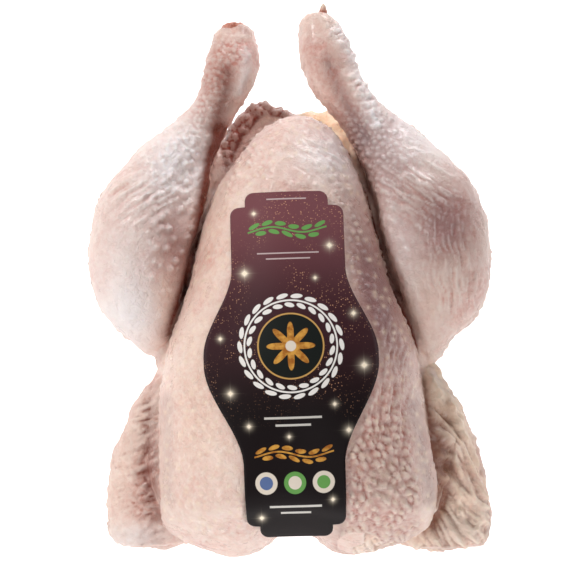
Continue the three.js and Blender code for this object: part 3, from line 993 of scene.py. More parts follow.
def skin_tints(p, normal, region, valley, hollow):
    """How strong each tint is. Valley is the depth of the creases and hollow that of the relief. Two sets
    of
    four shares from 0 to 1: blush, cream, mauve and brown, then pallor, yellow, red and warm dots. Blush,
    mauve, brown and red carry painted shade; cream, pallor and yellow carry painted light."""
    picture = Picture(p)
    u, v = picture.x / DOTS_PER_MM, picture.y / DOTS_PER_MM
    seen = towards_view(normal)
    forms = ("breast", "left_leg", "right_leg", "left_wing", "right_wing")
    shares = {name: region.of(name) * seen for name in forms}
    breast, left_wing, right_wing = shares["breast"], shares["left_wing"], shares["right_wing"]
    flap, fat = region.of("flap"), region.of("fat")
    cloud = fbm(p, 22, 3, 211)
    speck = fbm(p, 4, 2, 223)
    # masks for painted shade in the relief's hollows and painted light on its tops
    pit_shade = smoothstep(0.02, 0.30, hollow)
    lit_tops = smoothstep(0.02, 0.25, -hollow)
    vent = picture.spot("vent left") + picture.spot("vent right")
    lobe = breast * picture.lobe()
    cavity = inside_cavity(p)

    blush_and_shade = picture.tint("blush_and_shade", shares) + 0.22 + 0.22 * cloud + (0.16 - 0.06 * breast) * speck
    # painted shade: pinker in the relief's hollows, less on the right wing
    blush_and_shade += pit_shade * (0.55 - 0.35 * right_wing) + 0.25 * lobe + 0.2 * left_wing + 0.25 * right_wing
    blush_and_shade += 0.5 * cavity

    # painted light: creamier on the relief's tops, most on the right lobe
    cream_and_light = picture.tint("cream_and_light", shares) + 0.12 - 0.12 * cloud + 0.35 * lit_tops + 0.6 * lobe * lit_tops
    cream_and_light += right_wing * (0.45 + 0.35 * smoothstep(-0.2, 0.6, fbm(p, 9, 2, 227))) + 0.15 * left_wing

    mauve_and_shade = picture.tint("mauve_and_shade", shares) + 0.12 * lobe

    yellow_and_light = np.clip(fat, 0, 1) * vent
    streak = smoothstep(-0.5, 0.3, drawn_out(u, v, 150, 1.8, 6.0, 229))
    # painted shade: brown in the creases, darker the deeper they are; then the vent flap's own brown, and
    # painted shade in the relief's hollows
    brown_and_shade = picture.tint("brown_and_shade", shares) + smoothstep(0.5, 1.9, valley) * (0.95 - 0.6 * right_wing)
    brown_and_shade += 0.45 * flap * vent + pit_shade * (0.5 * flap * seen + 0.45 * right_wing + 0.4 * left_wing)
    brown_and_shade += left_wing * picture.spot("left wing inside") * (0.45 + 0.6 * streak)
    # painted shade along the breast's side of the right crease, darker where the crease is deep
    deep = smoothstep(0.1, 0.7, valley)
    brown_and_shade += breast * (0.35 + 1.15 * deep) * picture.line("right crease")
    # brown of the lobe, with painted shade in its hollows, and of the cavity
    brown_and_shade += lobe * (0.17 + 0.35 * pit_shade) + 0.15 * cavity
    brown_and_shade = brown_and_shade * (1 - 0.8 * np.clip(yellow_and_light, 0, 1))

    # pallor, with painted light on the relief's tops
    pallor_and_light = picture.tint("pallor_and_light", shares) + 0.25 * lit_tops
    # the right wing's warm yellow, with painted light on the relief's tops
    warm = right_wing * smoothstep(*WING_EDGE, picture.x)
    yellow_and_light = yellow_and_light + warm * (0.14 + 0.26 * lit_tops + 0.4 * picture.spot("right wing top"))
    # red of the cut rim, the vent flap and the cavity, with painted shade in the flap's hollows
    red = picture.tint("red", shares) + flap * vent * 0.8 * (0.5 + pit_shade) + 0.3 * cavity
    dots = 0.6 * domes(u, v, 4.6, 0.9, 0.3, 67, 0.4) * breast
    first = np.stack([blush_and_shade, cream_and_light, mauve_and_shade, brown_and_shade], 1)
    second = np.stack([pallor_and_light, yellow_and_light, red, dots], 1)
    return first, second


def fused_skin(settings):
    """The lofted forms fused into one closed skin by a voxel remesh and hollowed at the vent."""
    pieces = [loft(rows, rings, sides, upright, shape) for _, rows, rings, sides, upright, shape in FORMS]
    starts = np.cumsum([0] + [len(points) for points, _, _ in pieces])[:-1]
    points = np.vstack([points for points, _, _ in pieces])
    quads = np.vstack([quads + at for (_, quads, _), at in zip(pieces, starts)])
    tris = np.vstack([tris + at for (_, _, tris), at in zip(pieces, starts)])
    skin = add_object("skin", fill_mesh("skin", points, quads, tris))
    remesh = skin.modifiers.new("fuse", "REMESH")
    remesh.mode = "VOXEL"
    remesh.voxel_size = settings.voxel
    bake_modifiers(skin)

    cavity = add_object("cavity", fill_mesh("cavity", *cavity_grid()))
    cut = skin.modifiers.new("vent", "BOOLEAN")
    cut.operation = "DIFFERENCE"
    cut.solver = "MANIFOLD"
    cut.object = cavity
    bake_modifiers(skin)
    bpy.data.objects.remove(cavity, do_unlink=True)
    remesh = skin.modifiers.new("even", "REMESH")
    remesh.mode = "VOXEL"
    remesh.voxel_size = settings.voxel
    bake_modifiers(skin)
    return skin


# Rounds of relaxing: against the voxels' steps, to tell valleys, in the creases, to tell hollows
EVEN_ROUNDS, BROAD_ROUNDS, CREASE_ROUNDS, HOLLOW_ROUNDS = 3, 40, 28, 5
CREASE_DEPTH, CREASE_CALM = (0.2, 0.8), 0.6


def dress_skin(skin):
    """Relaxes the creases, raises the relief along the normals, less in the creases, and stores the
    tints, painted shade and painted light among them."""
    mesh = skin.data
    edges = edges_of(mesh)
    p = relax(read_points(mesh), edges, EVEN_ROUNDS)
    broad = relax(p, edges, BROAD_ROUNDS)
    write_points(mesh, p)
    normal = read_normals(mesh)
    valley = ((broad - p) * normal).sum(1)
    crease = smoothstep(*CREASE_DEPTH, valley)
    p = relax(p, edges, CREASE_ROUNDS, mask=crease)
    region = Region(p)
    calm = (1 - inside_cavity(p)) * (1 - CREASE_CALM * crease)
    p = p + normal * (skin_relief(p, normal, region) * calm)[:, None]
    p[:, 2] = np.maximum(p[:, 2], 0.0)
    write_points(mesh, p)
    hollow = ((relax(p, edges, HOLLOW_ROUNDS) - p) * read_normals(mesh)).sum(1)
    first, second = skin_tints(p, normal, region, valley, hollow)
    # the tints and spots hold painted shade and painted light along with the skin's colours
    set_colours(mesh, "tints", first)
    set_colours(mesh, "spots", second)


# Steps of the thinning, and how far the side that the picture shows is spared
THIN_LEVELS, SEEN_SPARED = 10, 0.9


def thin_skin(skin, settings):
    """Thins the skin to its triangle budget, a little more where the picture doesn't show it."""
    mesh = skin.data
    spare = 1 - SEEN_SPARED * towards_view(read_normals(mesh))
    group = skin.vertex_groups.new(name="spare")
    for level in range(THIN_LEVELS + 1):
        chosen = np.flatnonzero(np.round(spare * THIN_LEVELS) == level)
        group.add(chosen.tolist(), level / THIN_LEVELS, "REPLACE")
    thin = skin.modifiers.new("thin", "DECIMATE")
    thin.vertex_group = "spare"
    thin.vertex_group_factor = settings.spare
    thin.ratio = min(1.0, settings.triangles / (2 * len(mesh.polygons)))
    mesh = bake_modifiers(skin)
    skin.vertex_groups.clear()
    mesh.materials.clear()
    mesh.shade_smooth()


def cavity_grid():
    """An ellipsoid: cos and sin of two angles times its half-axes, tilted about X."""
    rings, sides = 40, 60
    v = np.linspace(0, np.pi, rings + 2)[1:-1]
    a = np.linspace(0, 2 * np.pi, sides, endpoint=False)
    ball = np.stack(
        [
            np.sin(v)[:, None] * np.cos(a),
            -np.cos(v)[:, None] + 0 * a,
            np.sin(v)[:, None] * np.sin(a),
        ],
        -1,
    ).reshape(-1, 3)
    ball = np.vstack([[0, -1, 0], ball, [0, 1, 0]]) * CAVITY_HALF
    c, s = np.cos(np.radians(CAVITY_TILT)), np.sin(np.radians(CAVITY_TILT))
    turned = ball @ np.array([[1, 0, 0], [0, c, -s], [0, s, c]]).T
    _, quads, tris = loft([[0, 0, 0, 1, 1, 1], [0, 1, 0, 1, 1, 1]], rings, sides)
    return turned + CAVITY_AT, quads, tris


# The cut ends of the shanks

# Stations of the flesh that stands out of each cut, along the shank
LEFT_CUT = [
    [-28.5, 121, 80, 0, 0, 0],
    [-28.5, 122, 80, 5, 5.5, 5.5],
    [-28.2, 126, 80.5, 6, 6.2, 6],
    [-28, 128.2, 80.5, 5.4, 5.6, 5.2],
    [-28, 129.2, 80.5, 2.6, 2.8, 2.8],
    [-28, 129, 80.5, 0, 0, 0],
]
RIGHT_CUT = [
    [13.5, 126, 80, 0, 0, 0],
    [13.5, 127, 80, 5.5, 5.2, 5.2],
    [13.2, 131.5, 79.8, 5.8, 5.4, 5.4],
    [13, 133.8, 79.6, 5, 4.6, 4.6],
    [13, 134.8, 79.6, 2.4, 2.2, 2.2],
    [13, 134.6, 79.6, 0, 0, 0],
]
TAG = [
    [15.5, 131, 85, 0, 0, 0],
    [15.8, 132, 86, 1.6, 1.2, 1.2],
    [15.4, 134.5, 87.5, 1.9, 1.2, 1.1],
    [15.8, 136.2, 88, 1.2, 0.8, 0.8],
    [16, 136.8, 88, 0, 0, 0],
]
CUT_RINGS, CUT_SIDES = 46, 72
CUTS = [("left_cut", LEFT_CUT, 301), ("right_cut", RIGHT_CUT, 331), ("tag", TAG, 361)]


def cut_object(name, stations, seed):
    """A ragged stump: the loft with noise of two sizes along its normals, its middle hollowed like
    the end of a bone. Its core attribute is 1 at the bone and 0 at the rim."""
    points, quads, tris = loft(stations, CUT_RINGS, CUT_SIDES)
    mesh = fill_mesh(name, points, quads, tris)
    normal = read_normals(mesh)
    middle = np.array(stations[3][:3], float)
    off = np.hypot(points[:, 0] - middle[0], points[:, 2] - middle[2])
    end = smoothstep(middle[1] - 3.5, middle[1], points[:, 1])
    rim = 0.9 * fbm(points, 2.6, 2, seed) + 0.5 * np.maximum(fbm(points, 1.5, 1, seed + 3), 0)
    points = points + normal * (rim * (0.4 + 0.6 * end) * smoothstep(0, 1.5, off))[:, None]
    points[:, 1] += end * (0.8 * bell(off, 0, 2.0) - 1.1 * bell(off, 3.2, 1.1))
    write_points(mesh, points)
    core = np.zeros((len(points), 4))
    core[:, 0] = end * (1 - smoothstep(2.2, 3.4, off + 0.4 * fbm(points, 2, 1, seed + 5)))
    core[:, 1] = smoothstep(-0.2, 0.8, fbm(points, 2.2, 2, seed + 7))
    set_colours(mesh, "core", core)
    return add_object(name, mesh)


def flesh_material():
    """Moist flesh round a paler bone, both with a fine grain."""
    material = bpy.data.materials.new("cut_flesh")
    material.use_nodes = True
    n = Nodes(material.node_tree)
    shader = n.tree.nodes["Principled BSDF"]
    place = n.add("ShaderNodeTexCoord").outputs["Object"]
    core = n.add("ShaderNodeVertexColor", layer_name="core")
    bone, pale, _ = n.split(core.outputs["Color"])
    grain = n.remap(n.noise(place, 900.0, 4.0), 0.35, 0.65)
    base = n.mix(grain, srgb(178, 100, 82), srgb(208, 142, 122))
    base = n.mix(n.math("MULTIPLY", pale, 0.7), base, srgb(222, 176, 162))
    base = n.mix(bone, base, n.mix(grain, srgb(222, 196, 176), srgb(238, 220, 204)))
    n.link(base, shader.inputs["Base Color"])
    bump = n.add("ShaderNodeBump")
    n.feed(bump.inputs["Strength"], 0.5)
    n.feed(bump.inputs["Distance"], 0.0005)
    n.link(n.noise(place, 1300.0, 4.0), bump.inputs["Height"])
    n.link(bump.outputs[0], shader.inputs["Normal"])
    shader.inputs["Roughness"].default_value = 0.32
    shader.inputs["Subsurface Weight"].default_value = 0.1
    shader.inputs["Subsurface Radius"].default_value = (1.0, 0.35, 0.2)
    shader.inputs["Subsurface Scale"].default_value = 0.002
    return material


# The label

LABEL_FACING, LABEL_LEAN = np.radians(70.0), np.radians(1.85)
LABEL_TOP = (-2.6, 64.0)
LABEL_LENGTH, LABEL_CORNER = 160.3, 4.0
UPPER_TAB, LOWER_TAB = (19.0, 6.8), (17.0, 6.0)
NECK_HALF, WAIST_HALF, BASE_HALF = 26.0, 40.0, 23.0
WIDENS, NARROWS = (36, 76), (80, 126)
LABEL_ROWS, LABEL_COLUMNS, STEP_ROW = 84, 41, 0.15


def corner_cut(distance):
    """How far a rounded corner lies inside its square corner, at a distance from the end."""
    left = np.maximum(LABEL_CORNER - distance, 0)
    return LABEL_CORNER - np.sqrt(np.maximum(LABEL_CORNER**2 - left**2, 0))


def label_half(along):
    """Half-width at a distance from the upper edge: tab, neck, waist, base and tab, corners rounded."""
    body = NECK_HALF + (WAIST_HALF - NECK_HALF) * smoothstep(*WIDENS, along)
    body = body - (WAIST_HALF - BASE_HALF) * smoothstep(*NARROWS, along)
    end = LABEL_LENGTH - along
    body = body - corner_cut(along - UPPER_TAB[1]) - corner_cut(end - LOWER_TAB[1])
    upper = UPPER_TAB[0] - corner_cut(along)
    lower = LOWER_TAB[0] - corner_cut(end)
    return np.where(along < UPPER_TAB[1], upper, np.where(end < LOWER_TAB[1], lower, body))


BREAST_STEPS = 300  # places down the breast's path
LOBE_ROUNDS = 6  # rounds that find the place a point had before the lobes moved it


def outside_breast(p):
    """Below 0 inside the breast with its lobes and without its cleft, above 0 outside it."""
    base = p.copy()
    for _ in range(LOBE_ROUNDS):
        near = 1 - smoothstep(NECK_END, CLEFT_FROM, base[:, 1])
        lobes = bell(p[:, 0], -LOBE_SPREAD, LOBE_WIDTH) + bell(p[:, 0], LOBE_SPREAD, LOBE_WIDTH)
        base[:, 1] = p[:, 1] + near**3 * LOBE_REACH * lobes
    middle, size, _, _, _ = frames(BREAST, BREAST_STEPS, True)
    t = np.interp(base[:, 1], middle[:, 1], np.arange(len(middle)))
    i = np.clip(t.astype(int), 0, len(middle) - 2)
    w = (t - i)[:, None]
    mid = middle[i] * (1 - w) + middle[i + 1] * w
    siz = size[i] * (1 - w) + size[i + 1] * w
    rise = p[:, 2] - mid[:, 2]
    tall = np.where(rise > 0, siz[:, 1], siz[:, 2])
    rho = np.hypot((p[:, 0] - mid[:, 0]) / np.maximum(siz[:, 0], 1e-3), rise / np.maximum(tall, 1e-3))
    outside = (base[:, 1] < middle[0, 1]) | (base[:, 1] > middle[-1, 1])
    return np.where(outside, 1.0, rho - 1)


# Where the rays that lay the label begin and end, their step, and how often the crossing is halved
RAY_FROM, RAY_TO, RAY_STEP, HALVINGS = -170.0, 20.0, 2.0, 20


def lay_on_breast(u, v):
    """Points of the breast that are seen at u across and v along the label's plane: each ray is
    walked in until it enters the breast, and the step that crosses its surface is halved again
    and again."""
    inward = np.array([0, np.cos(LABEL_FACING), -np.sin(LABEL_FACING)])
    rise = np.array([0, np.sin(LABEL_FACING), np.cos(LABEL_FACING)])
    start = u[:, None] * np.array([1.0, 0, 0]) + v[:, None] * rise
    low = np.full(len(u), RAY_FROM)
    high = low.copy()
    open_ray = np.ones(len(u), bool)
    for t in np.arange(RAY_FROM + RAY_STEP, RAY_TO, RAY_STEP):
        entered = open_ray & (outside_breast(start + t * inward) < 0)
        high[entered] = t
        low[entered] = t - RAY_STEP
        open_ray &= ~entered
    for _ in range(HALVINGS):
        mid = (low + high) / 2
        inner = outside_breast(start + mid[:, None] * inward) < 0
        high = np.where(inner, mid, high)
        low = np.where(inner, low, mid)
    return start + high[:, None] * inward


def label_grid():
    """Rows down the label, close together in the corners and at the tabs' steps, and even columns
    across it."""
    part = np.array([0, 0.03, 0.1, 0.22, 0.4, 0.65, 1]) * LABEL_CORNER
    shoulder, hip = UPPER_TAB[1], LABEL_LENGTH - LOWER_TAB[1]
    rows = np.concatenate(
        [
            part,
            [shoulder - STEP_ROW],
            shoulder + part,
            np.linspace(shoulder + LABEL_CORNER, hip - LABEL_CORNER, LABEL_ROWS)[1:-1],
            hip - part[::-1],
            [hip + STEP_ROW],
            LABEL_LENGTH - part[::-1],
        ]
    )
    across = np.linspace(-1, 1, LABEL_COLUMNS)
    along, side = np.meshgrid(rows, across, indexing="ij")
    return along, side * label_half(along)


def label_object(settings):
    """Two copies of one grid laid on the breast, a gap and a thickness above it, joined at their
    edges."""
    along, aside = label_grid()
    rows, columns = along.shape
    c, s = np.cos(LABEL_LEAN), np.sin(LABEL_LEAN)
    u = LABEL_TOP[0] + aside * c + along * s
    v = LABEL_TOP[1] + aside * s - along * c
    sheet = lay_on_breast(u.ravel(), v.ravel()).reshape(rows, columns, 3)
    east = lay_on_breast(u.ravel() + 1, v.ravel()) - lay_on_breast(u.ravel() - 1, v.ravel())
    south = lay_on_breast(u.ravel(), v.ravel() - 1) - lay_on_breast(u.ravel(), v.ravel() + 1)
    out = unit(np.cross(south, east)).reshape(rows, columns, 3)
    lower = sheet + out * settings.label_gap / MM
    upper = lower + out * settings.label_thickness / MM
    points = np.vstack([lower.reshape(-1, 3), upper.reshape(-1, 3)])
    layer = rows * columns
    i, k = np.meshgrid(np.arange(rows - 1), np.arange(columns - 1), indexing="ij")
    a = (i * columns + k).ravel()
    top = np.stack([a + layer, a + columns + layer, a + columns + 1 + layer, a + 1 + layer], 1)
    under = np.stack([a, a + 1, a + columns + 1, a + columns], 1)
    i = np.arange(rows - 1) * columns
    j = i + columns - 1
    left = np.stack([i, i + columns, layer + i + columns, layer + i], 1)
    right = np.stack([j, layer + j, layer + j + columns, j + columns], 1)
    k = np.arange(columns - 1)
    m = k + (rows - 1) * columns
    head = np.stack([k, layer + k, layer + k + 1, k + 1], 1)
    foot = np.stack([m, m + 1, layer + m + 1, layer + m], 1)
    mesh = fill_mesh("label_card", points, np.vstack([top, under, left, right, head, foot]))
    uv = np.tile(np.stack([aside, -along], -1).reshape(-1, 2) * MM, (2, 1))
    layer_uv = mesh.uv_layers.new(name="print")
    index = np.empty(len(mesh.loops), np.int32)
    mesh.loops.foreach_get("vertex_index", index)
    layer_uv.data.foreach_set("uv", uv[index].ravel().astype(np.float32))
    return add_object("label_card", mesh)


# Materials


class Nodes:
    """Short names for the calls that fill a node tree."""

    def __init__(self, tree):
        self.tree = tree

    def add(self, kind, **values):
        """A new node of this kind with these settings."""
        node = self.tree.nodes.new(kind)
        for name, value in values.items():
            setattr(node, name, value)
        return node

    def link(self, source, target):
        """Links an output to an input."""
        self.tree.links.new(source, target)

    def feed(self, socket, value):
        """Links the socket to an output or gives it a value."""
        if isinstance(value, bpy.types.NodeSocket):
            self.link(value, socket)
        else:
            socket.default_value = value

    def math(self, operation, *values, clamp=False):
        """The result of one operation on the values."""
        node = self.add("ShaderNodeMath", operation=operation, use_clamp=clamp)
        for socket, value in zip(node.inputs, values):
            self.feed(socket, value)
        return node.outputs[0]

    def mix(self, factor, first, second):
        """A colour between the first and the second."""
        node = self.add("ShaderNodeMix", data_type="RGBA")
        self.feed(node.inputs[0], factor)
        self.feed(node.inputs[6], first)
        self.feed(node.inputs[7], second)
        return node.outputs[2]

    def split(self, colour):
        """The colour's red, green and blue."""
        node = self.add("ShaderNodeSeparateColor")
        self.feed(node.inputs[0], colour)
        return node.outputs[0], node.outputs[1], node.outputs[2]

    def noise(self, vector, scale, detail=3.0, roughness=0.55, distortion=0.0):
        """Noise from 0 to 1 at the place."""
        node = self.add("ShaderNodeTexNoise")
        self.feed(node.inputs["Vector"], vector)
        self.feed(node.inputs["Scale"], scale)
        self.feed(node.inputs["Detail"], detail)
        self.feed(node.inputs["Roughness"], roughness)
        self.feed(node.inputs["Distortion"], distortion)
        return node.outputs["Fac"]

    def oval(self, x, y, at_x, at_y, half_x, half_y, edge=0.06):
        """1 inside an ellipse and 0 outside it."""
        dx = self.math("DIVIDE", self.math("SUBTRACT", x, float(at_x)), float(half_x))
        dy = self.math("DIVIDE", self.math("SUBTRACT", y, float(at_y)), float(half_y))
        square = self.math("ADD", self.math("MULTIPLY", dx, dx), self.math("MULTIPLY", dy, dy))
        return self.remap(square, 1 + edge, 1 - edge)

    def box(self, x, y, at_x, at_y, half_x, half_y, edge=0.12):
        """1 inside a rectangle and 0 outside it."""
        dx = self.math("ABSOLUTE", self.math("SUBTRACT", x, float(at_x)))
        dy = self.math("ABSOLUTE", self.math("SUBTRACT", y, float(at_y)))
        off = self.math(
            "MAXIMUM", self.math("SUBTRACT", dx, float(half_x)), self.math("SUBTRACT", dy, float(half_y))
        )
        return self.remap(off, edge, -edge)

    def remap(self, value, low, high, new_low=0.0, new_high=1.0):
        """New_low where the value is low, new_high where it is high, smooth between them."""
        node = self.add("ShaderNodeMapRange", interpolation_type="SMOOTHSTEP")
        for socket, item in zip(node.inputs[:5], (value, low, high, new_low, new_high)):
            self.feed(socket, item)
        return node.outputs[0]


def srgb(*values):
    """A colour given as it looks on screen, from 0 to 255, as the linear colour shaders use."""
    c = np.array(values) / 255.0
    linear = np.where(c <= 0.04045, c / 12.92, ((c + 0.055) / 1.055) ** 2.4)
    return (*linear.tolist(), 1.0)


def skin_material(settings):
    """Moist skin: the stored tints, painted shade and painted light among them, over two mottled ground
    colours, fine wrinkles and a thin wet coat.
    """
    material = bpy.data.materials.new("raw_skin")
    material.use_nodes = True
    n = Nodes(material.node_tree)
    shader = n.tree.nodes["Principled BSDF"]
    place = n.add("ShaderNodeTexCoord").outputs["Object"]
    tints = n.add("ShaderNodeVertexColor", layer_name="tints")
    spots = n.add("ShaderNodeVertexColor", layer_name="spots")
    blush_and_shade, cream_and_light, mauve_and_shade = n.split(tints.outputs["Color"])
    pallor_and_light, yellow_and_light, red = n.split(spots.outputs["Color"])
    mottle = n.remap(n.noise(place, 110.0, 5.0, 0.62), 0.35, 0.65)
    vein = n.remap(n.noise(place, 420.0, 4.0, 0.6), 0.4, 0.62)
    pink = n.math("MULTIPLY", blush_and_shade, n.math("ADD", 0.55, n.math("MULTIPLY", vein, 0.6)))
    base = n.mix(mottle, settings.skin_deep[:], settings.skin_pale[:])
    # pink, with painted shade in the relief's hollows and on shaded sides
    base = n.mix(pink, base, settings.blush_and_shade[:])
    # cream, with painted light on the relief's tops
    base = n.mix(cream_and_light, base, settings.cream_and_light[:])
    # mauve, mostly painted shade on shaded sides and in grooves
    base = n.mix(mauve_and_shade, base, settings.mauve_and_shade[:])
    # pallor, mostly painted light on lit sides and rims, and painted highlights
    base = n.mix(pallor_and_light, base, settings.pallor_and_light[:])
    base = n.mix(spots.outputs["Alpha"], base, srgb(245, 222, 198))
    # brown, with painted shade in the creases, grooves and hollows
    base = n.mix(tints.outputs["Alpha"], base, settings.brown_and_shade[:])
    # yellow of fat and of the right wing, with painted light on the relief's tops
    base = n.mix(yellow_and_light, base, n.mix(mottle, srgb(246, 208, 172), srgb(250, 228, 202)))
    # red, with painted shade in the vent flap's hollows
    base = n.mix(red, base, srgb(150, 74, 62))
    n.link(base, shader.inputs["Base Color"])
    fine = n.noise(place, 1100.0, 3.0)
    wrinkle = n.noise(place, 330.0, 4.0, 0.6, 0.8)
    bump = n.add("ShaderNodeBump")
    n.feed(bump.inputs["Strength"], 1.0)
    n.feed(bump.inputs["Distance"], 0.001)
    n.link(n.math("ADD", n.math("MULTIPLY", fine, 0.35), wrinkle), bump.inputs["Height"])
    n.link(bump.outputs[0], shader.inputs["Normal"])
    n.link(n.remap(mottle, 0.0, 1.0, 0.27, 0.42), shader.inputs["Roughness"])
    shader.inputs["IOR"].default_value = 1.42
    shader.inputs["Coat Weight"].default_value = 0.22
    shader.inputs["Coat Roughness"].default_value = 0.2
    shader.inputs["Subsurface Weight"].default_value = 0.08
    shader.inputs["Subsurface Radius"].default_value = (1.0, 0.42, 0.28)
    shader.inputs["Subsurface Scale"].default_value = 0.0018
    return material


def glint_group():
    """A soft four-point star round the origin of its inputs: a bright core with two thin rays."""
    group = bpy.data.node_groups.new("glint", "ShaderNodeTree")
    group.interface.new_socket("X", in_out="INPUT", socket_type="NodeSocketFloat")
    group.interface.new_socket("Y", in_out="INPUT", socket_type="NodeSocketFloat")
    group.interface.new_socket("Light", in_out="OUTPUT", socket_type="NodeSocketFloat")
    n = Nodes(group)
    source = n.add("NodeGroupInput")
    result = n.add("NodeGroupOutput")
    x = n.math("ABSOLUTE", source.outputs[0])
    y = n.math("ABSOLUTE", source.outputs[1])
    square = n.math("ADD", n.math("MULTIPLY", x, x), n.math("MULTIPLY", y, y))
    core = n.math("EXPONENT", n.math("MULTIPLY", square, -6.0))
    halo = n.math("MULTIPLY", n.math("EXPONENT", n.math("MULTIPLY", square, -1.2)), 0.3)
    flat = n.math("EXPONENT", n.math("ADD", n.math("MULTIPLY", x, -2.0), n.math("MULTIPLY", y, -16.0)))
    tall = n.math("EXPONENT", n.math("ADD", n.math("MULTIPLY", y, -2.0), n.math("MULTIPLY", x, -16.0)))
    rays = n.math("MULTIPLY", n.math("ADD", flat, tall), 0.8)
    total = n.math("ADD", n.math("ADD", core, halo), rays, clamp=True)
    n.link(total, result.inputs[0])
    return group


# The leaves of a garland fit a whole number of times round the wreath
WREATH_AT, WREATH_RADIUS = (0.0, 72.0), 21.0
LEAF_PITCH = 2 * np.pi * WREATH_RADIUS / 22
WAVE_RATE, WAVE_HEIGHT = 0.22, 1.4


def garland_group():
    """A stem along X, waved as high as Wave says, with a leaf above and a leaf below it in turn: 1 on
    it and 0 beside it. The leaves above reach as far as Above says, those below as far as Below."""
    group = bpy.data.node_groups.new("garland", "ShaderNodeTree")
    for name in ("X", "Y", "Above", "Below", "Wave"):
        group.interface.new_socket(name, in_out="INPUT", socket_type="NodeSocketFloat")
    group.interface.new_socket("Mask", in_out="OUTPUT", socket_type="NodeSocketFloat")
    n = Nodes(group)
    source = n.add("NodeGroupInput")
    result = n.add("NodeGroupOutput")
    x, y, above, below, height = source.outputs[:5]
    wave = n.math("SINE", n.math("MULTIPLY", x, WAVE_RATE))
    bent = n.math("SUBTRACT", y, n.math("MULTIPLY", wave, height))
    aside = n.math("ABSOLUTE", x)
    stem = n.remap(n.math("ABSOLUTE", bent), 0.5, 0.3)
    total = n.math("MULTIPLY", stem, n.math("LESS_THAN", aside, above))
    for shift, rise, reach in ((0.0, -2.1, above), (LEAF_PITCH / 2, 2.1, below)):
        along = n.math("FLOORED_MODULO", n.math("ADD", x, shift), LEAF_PITCH)
        along = n.math("SUBTRACT", along, LEAF_PITCH / 2)
        lean = n.math("MULTIPLY", n.math("SUBTRACT", bent, rise), 0.75 if rise < 0 else -0.75)
        leaf = n.oval(n.math("ADD", along, lean), bent, 0.0, rise, 2.3, 1.15, 0.15)
        leaf = n.math("MULTIPLY", leaf, n.math("LESS_THAN", aside, reach))
        total = n.math("MAXIMUM", total, leaf)
    n.link(total, result.inputs[0])
    return group


# The print, in millimetres from the middle of the card's upper edge, x to the right and y down
GLINTS = [
    (-15, 10, 1.8),
    (19, 26, 2.6),
    (-20, 38, 3.0),
    (12, 41, 1.6),
    (29, 58, 2.2),
    (-32, 68, 1.8),
    (33, 82, 3.0),
    (-28, 93, 2.6),
    (19, 99, 1.8),
    (-20, 108, 2.0),
    (25, 111, 2.4),
    (-2, 113, 1.6),
    (17, 142, 1.8),
    (-16, 150, 2.2),
]
THIN_BARS = [(0, 3.4, 9), (0, 29.0, 14), (0, 31.6, 10)]
BARS = [(0, 104.5, 13), (0, 107.8, 8), (0, 144.5, 12), (0, 147.6, 7)]
BADGE_HEIGHT, BADGE_RADIUS = 134.0, 5.0
DISC_RADIUS, LINE_WIDTH = 15.2, 0.7
PETALS, PETAL_MIDDLE, PETAL_REACH = 8, 7.6, 3.4


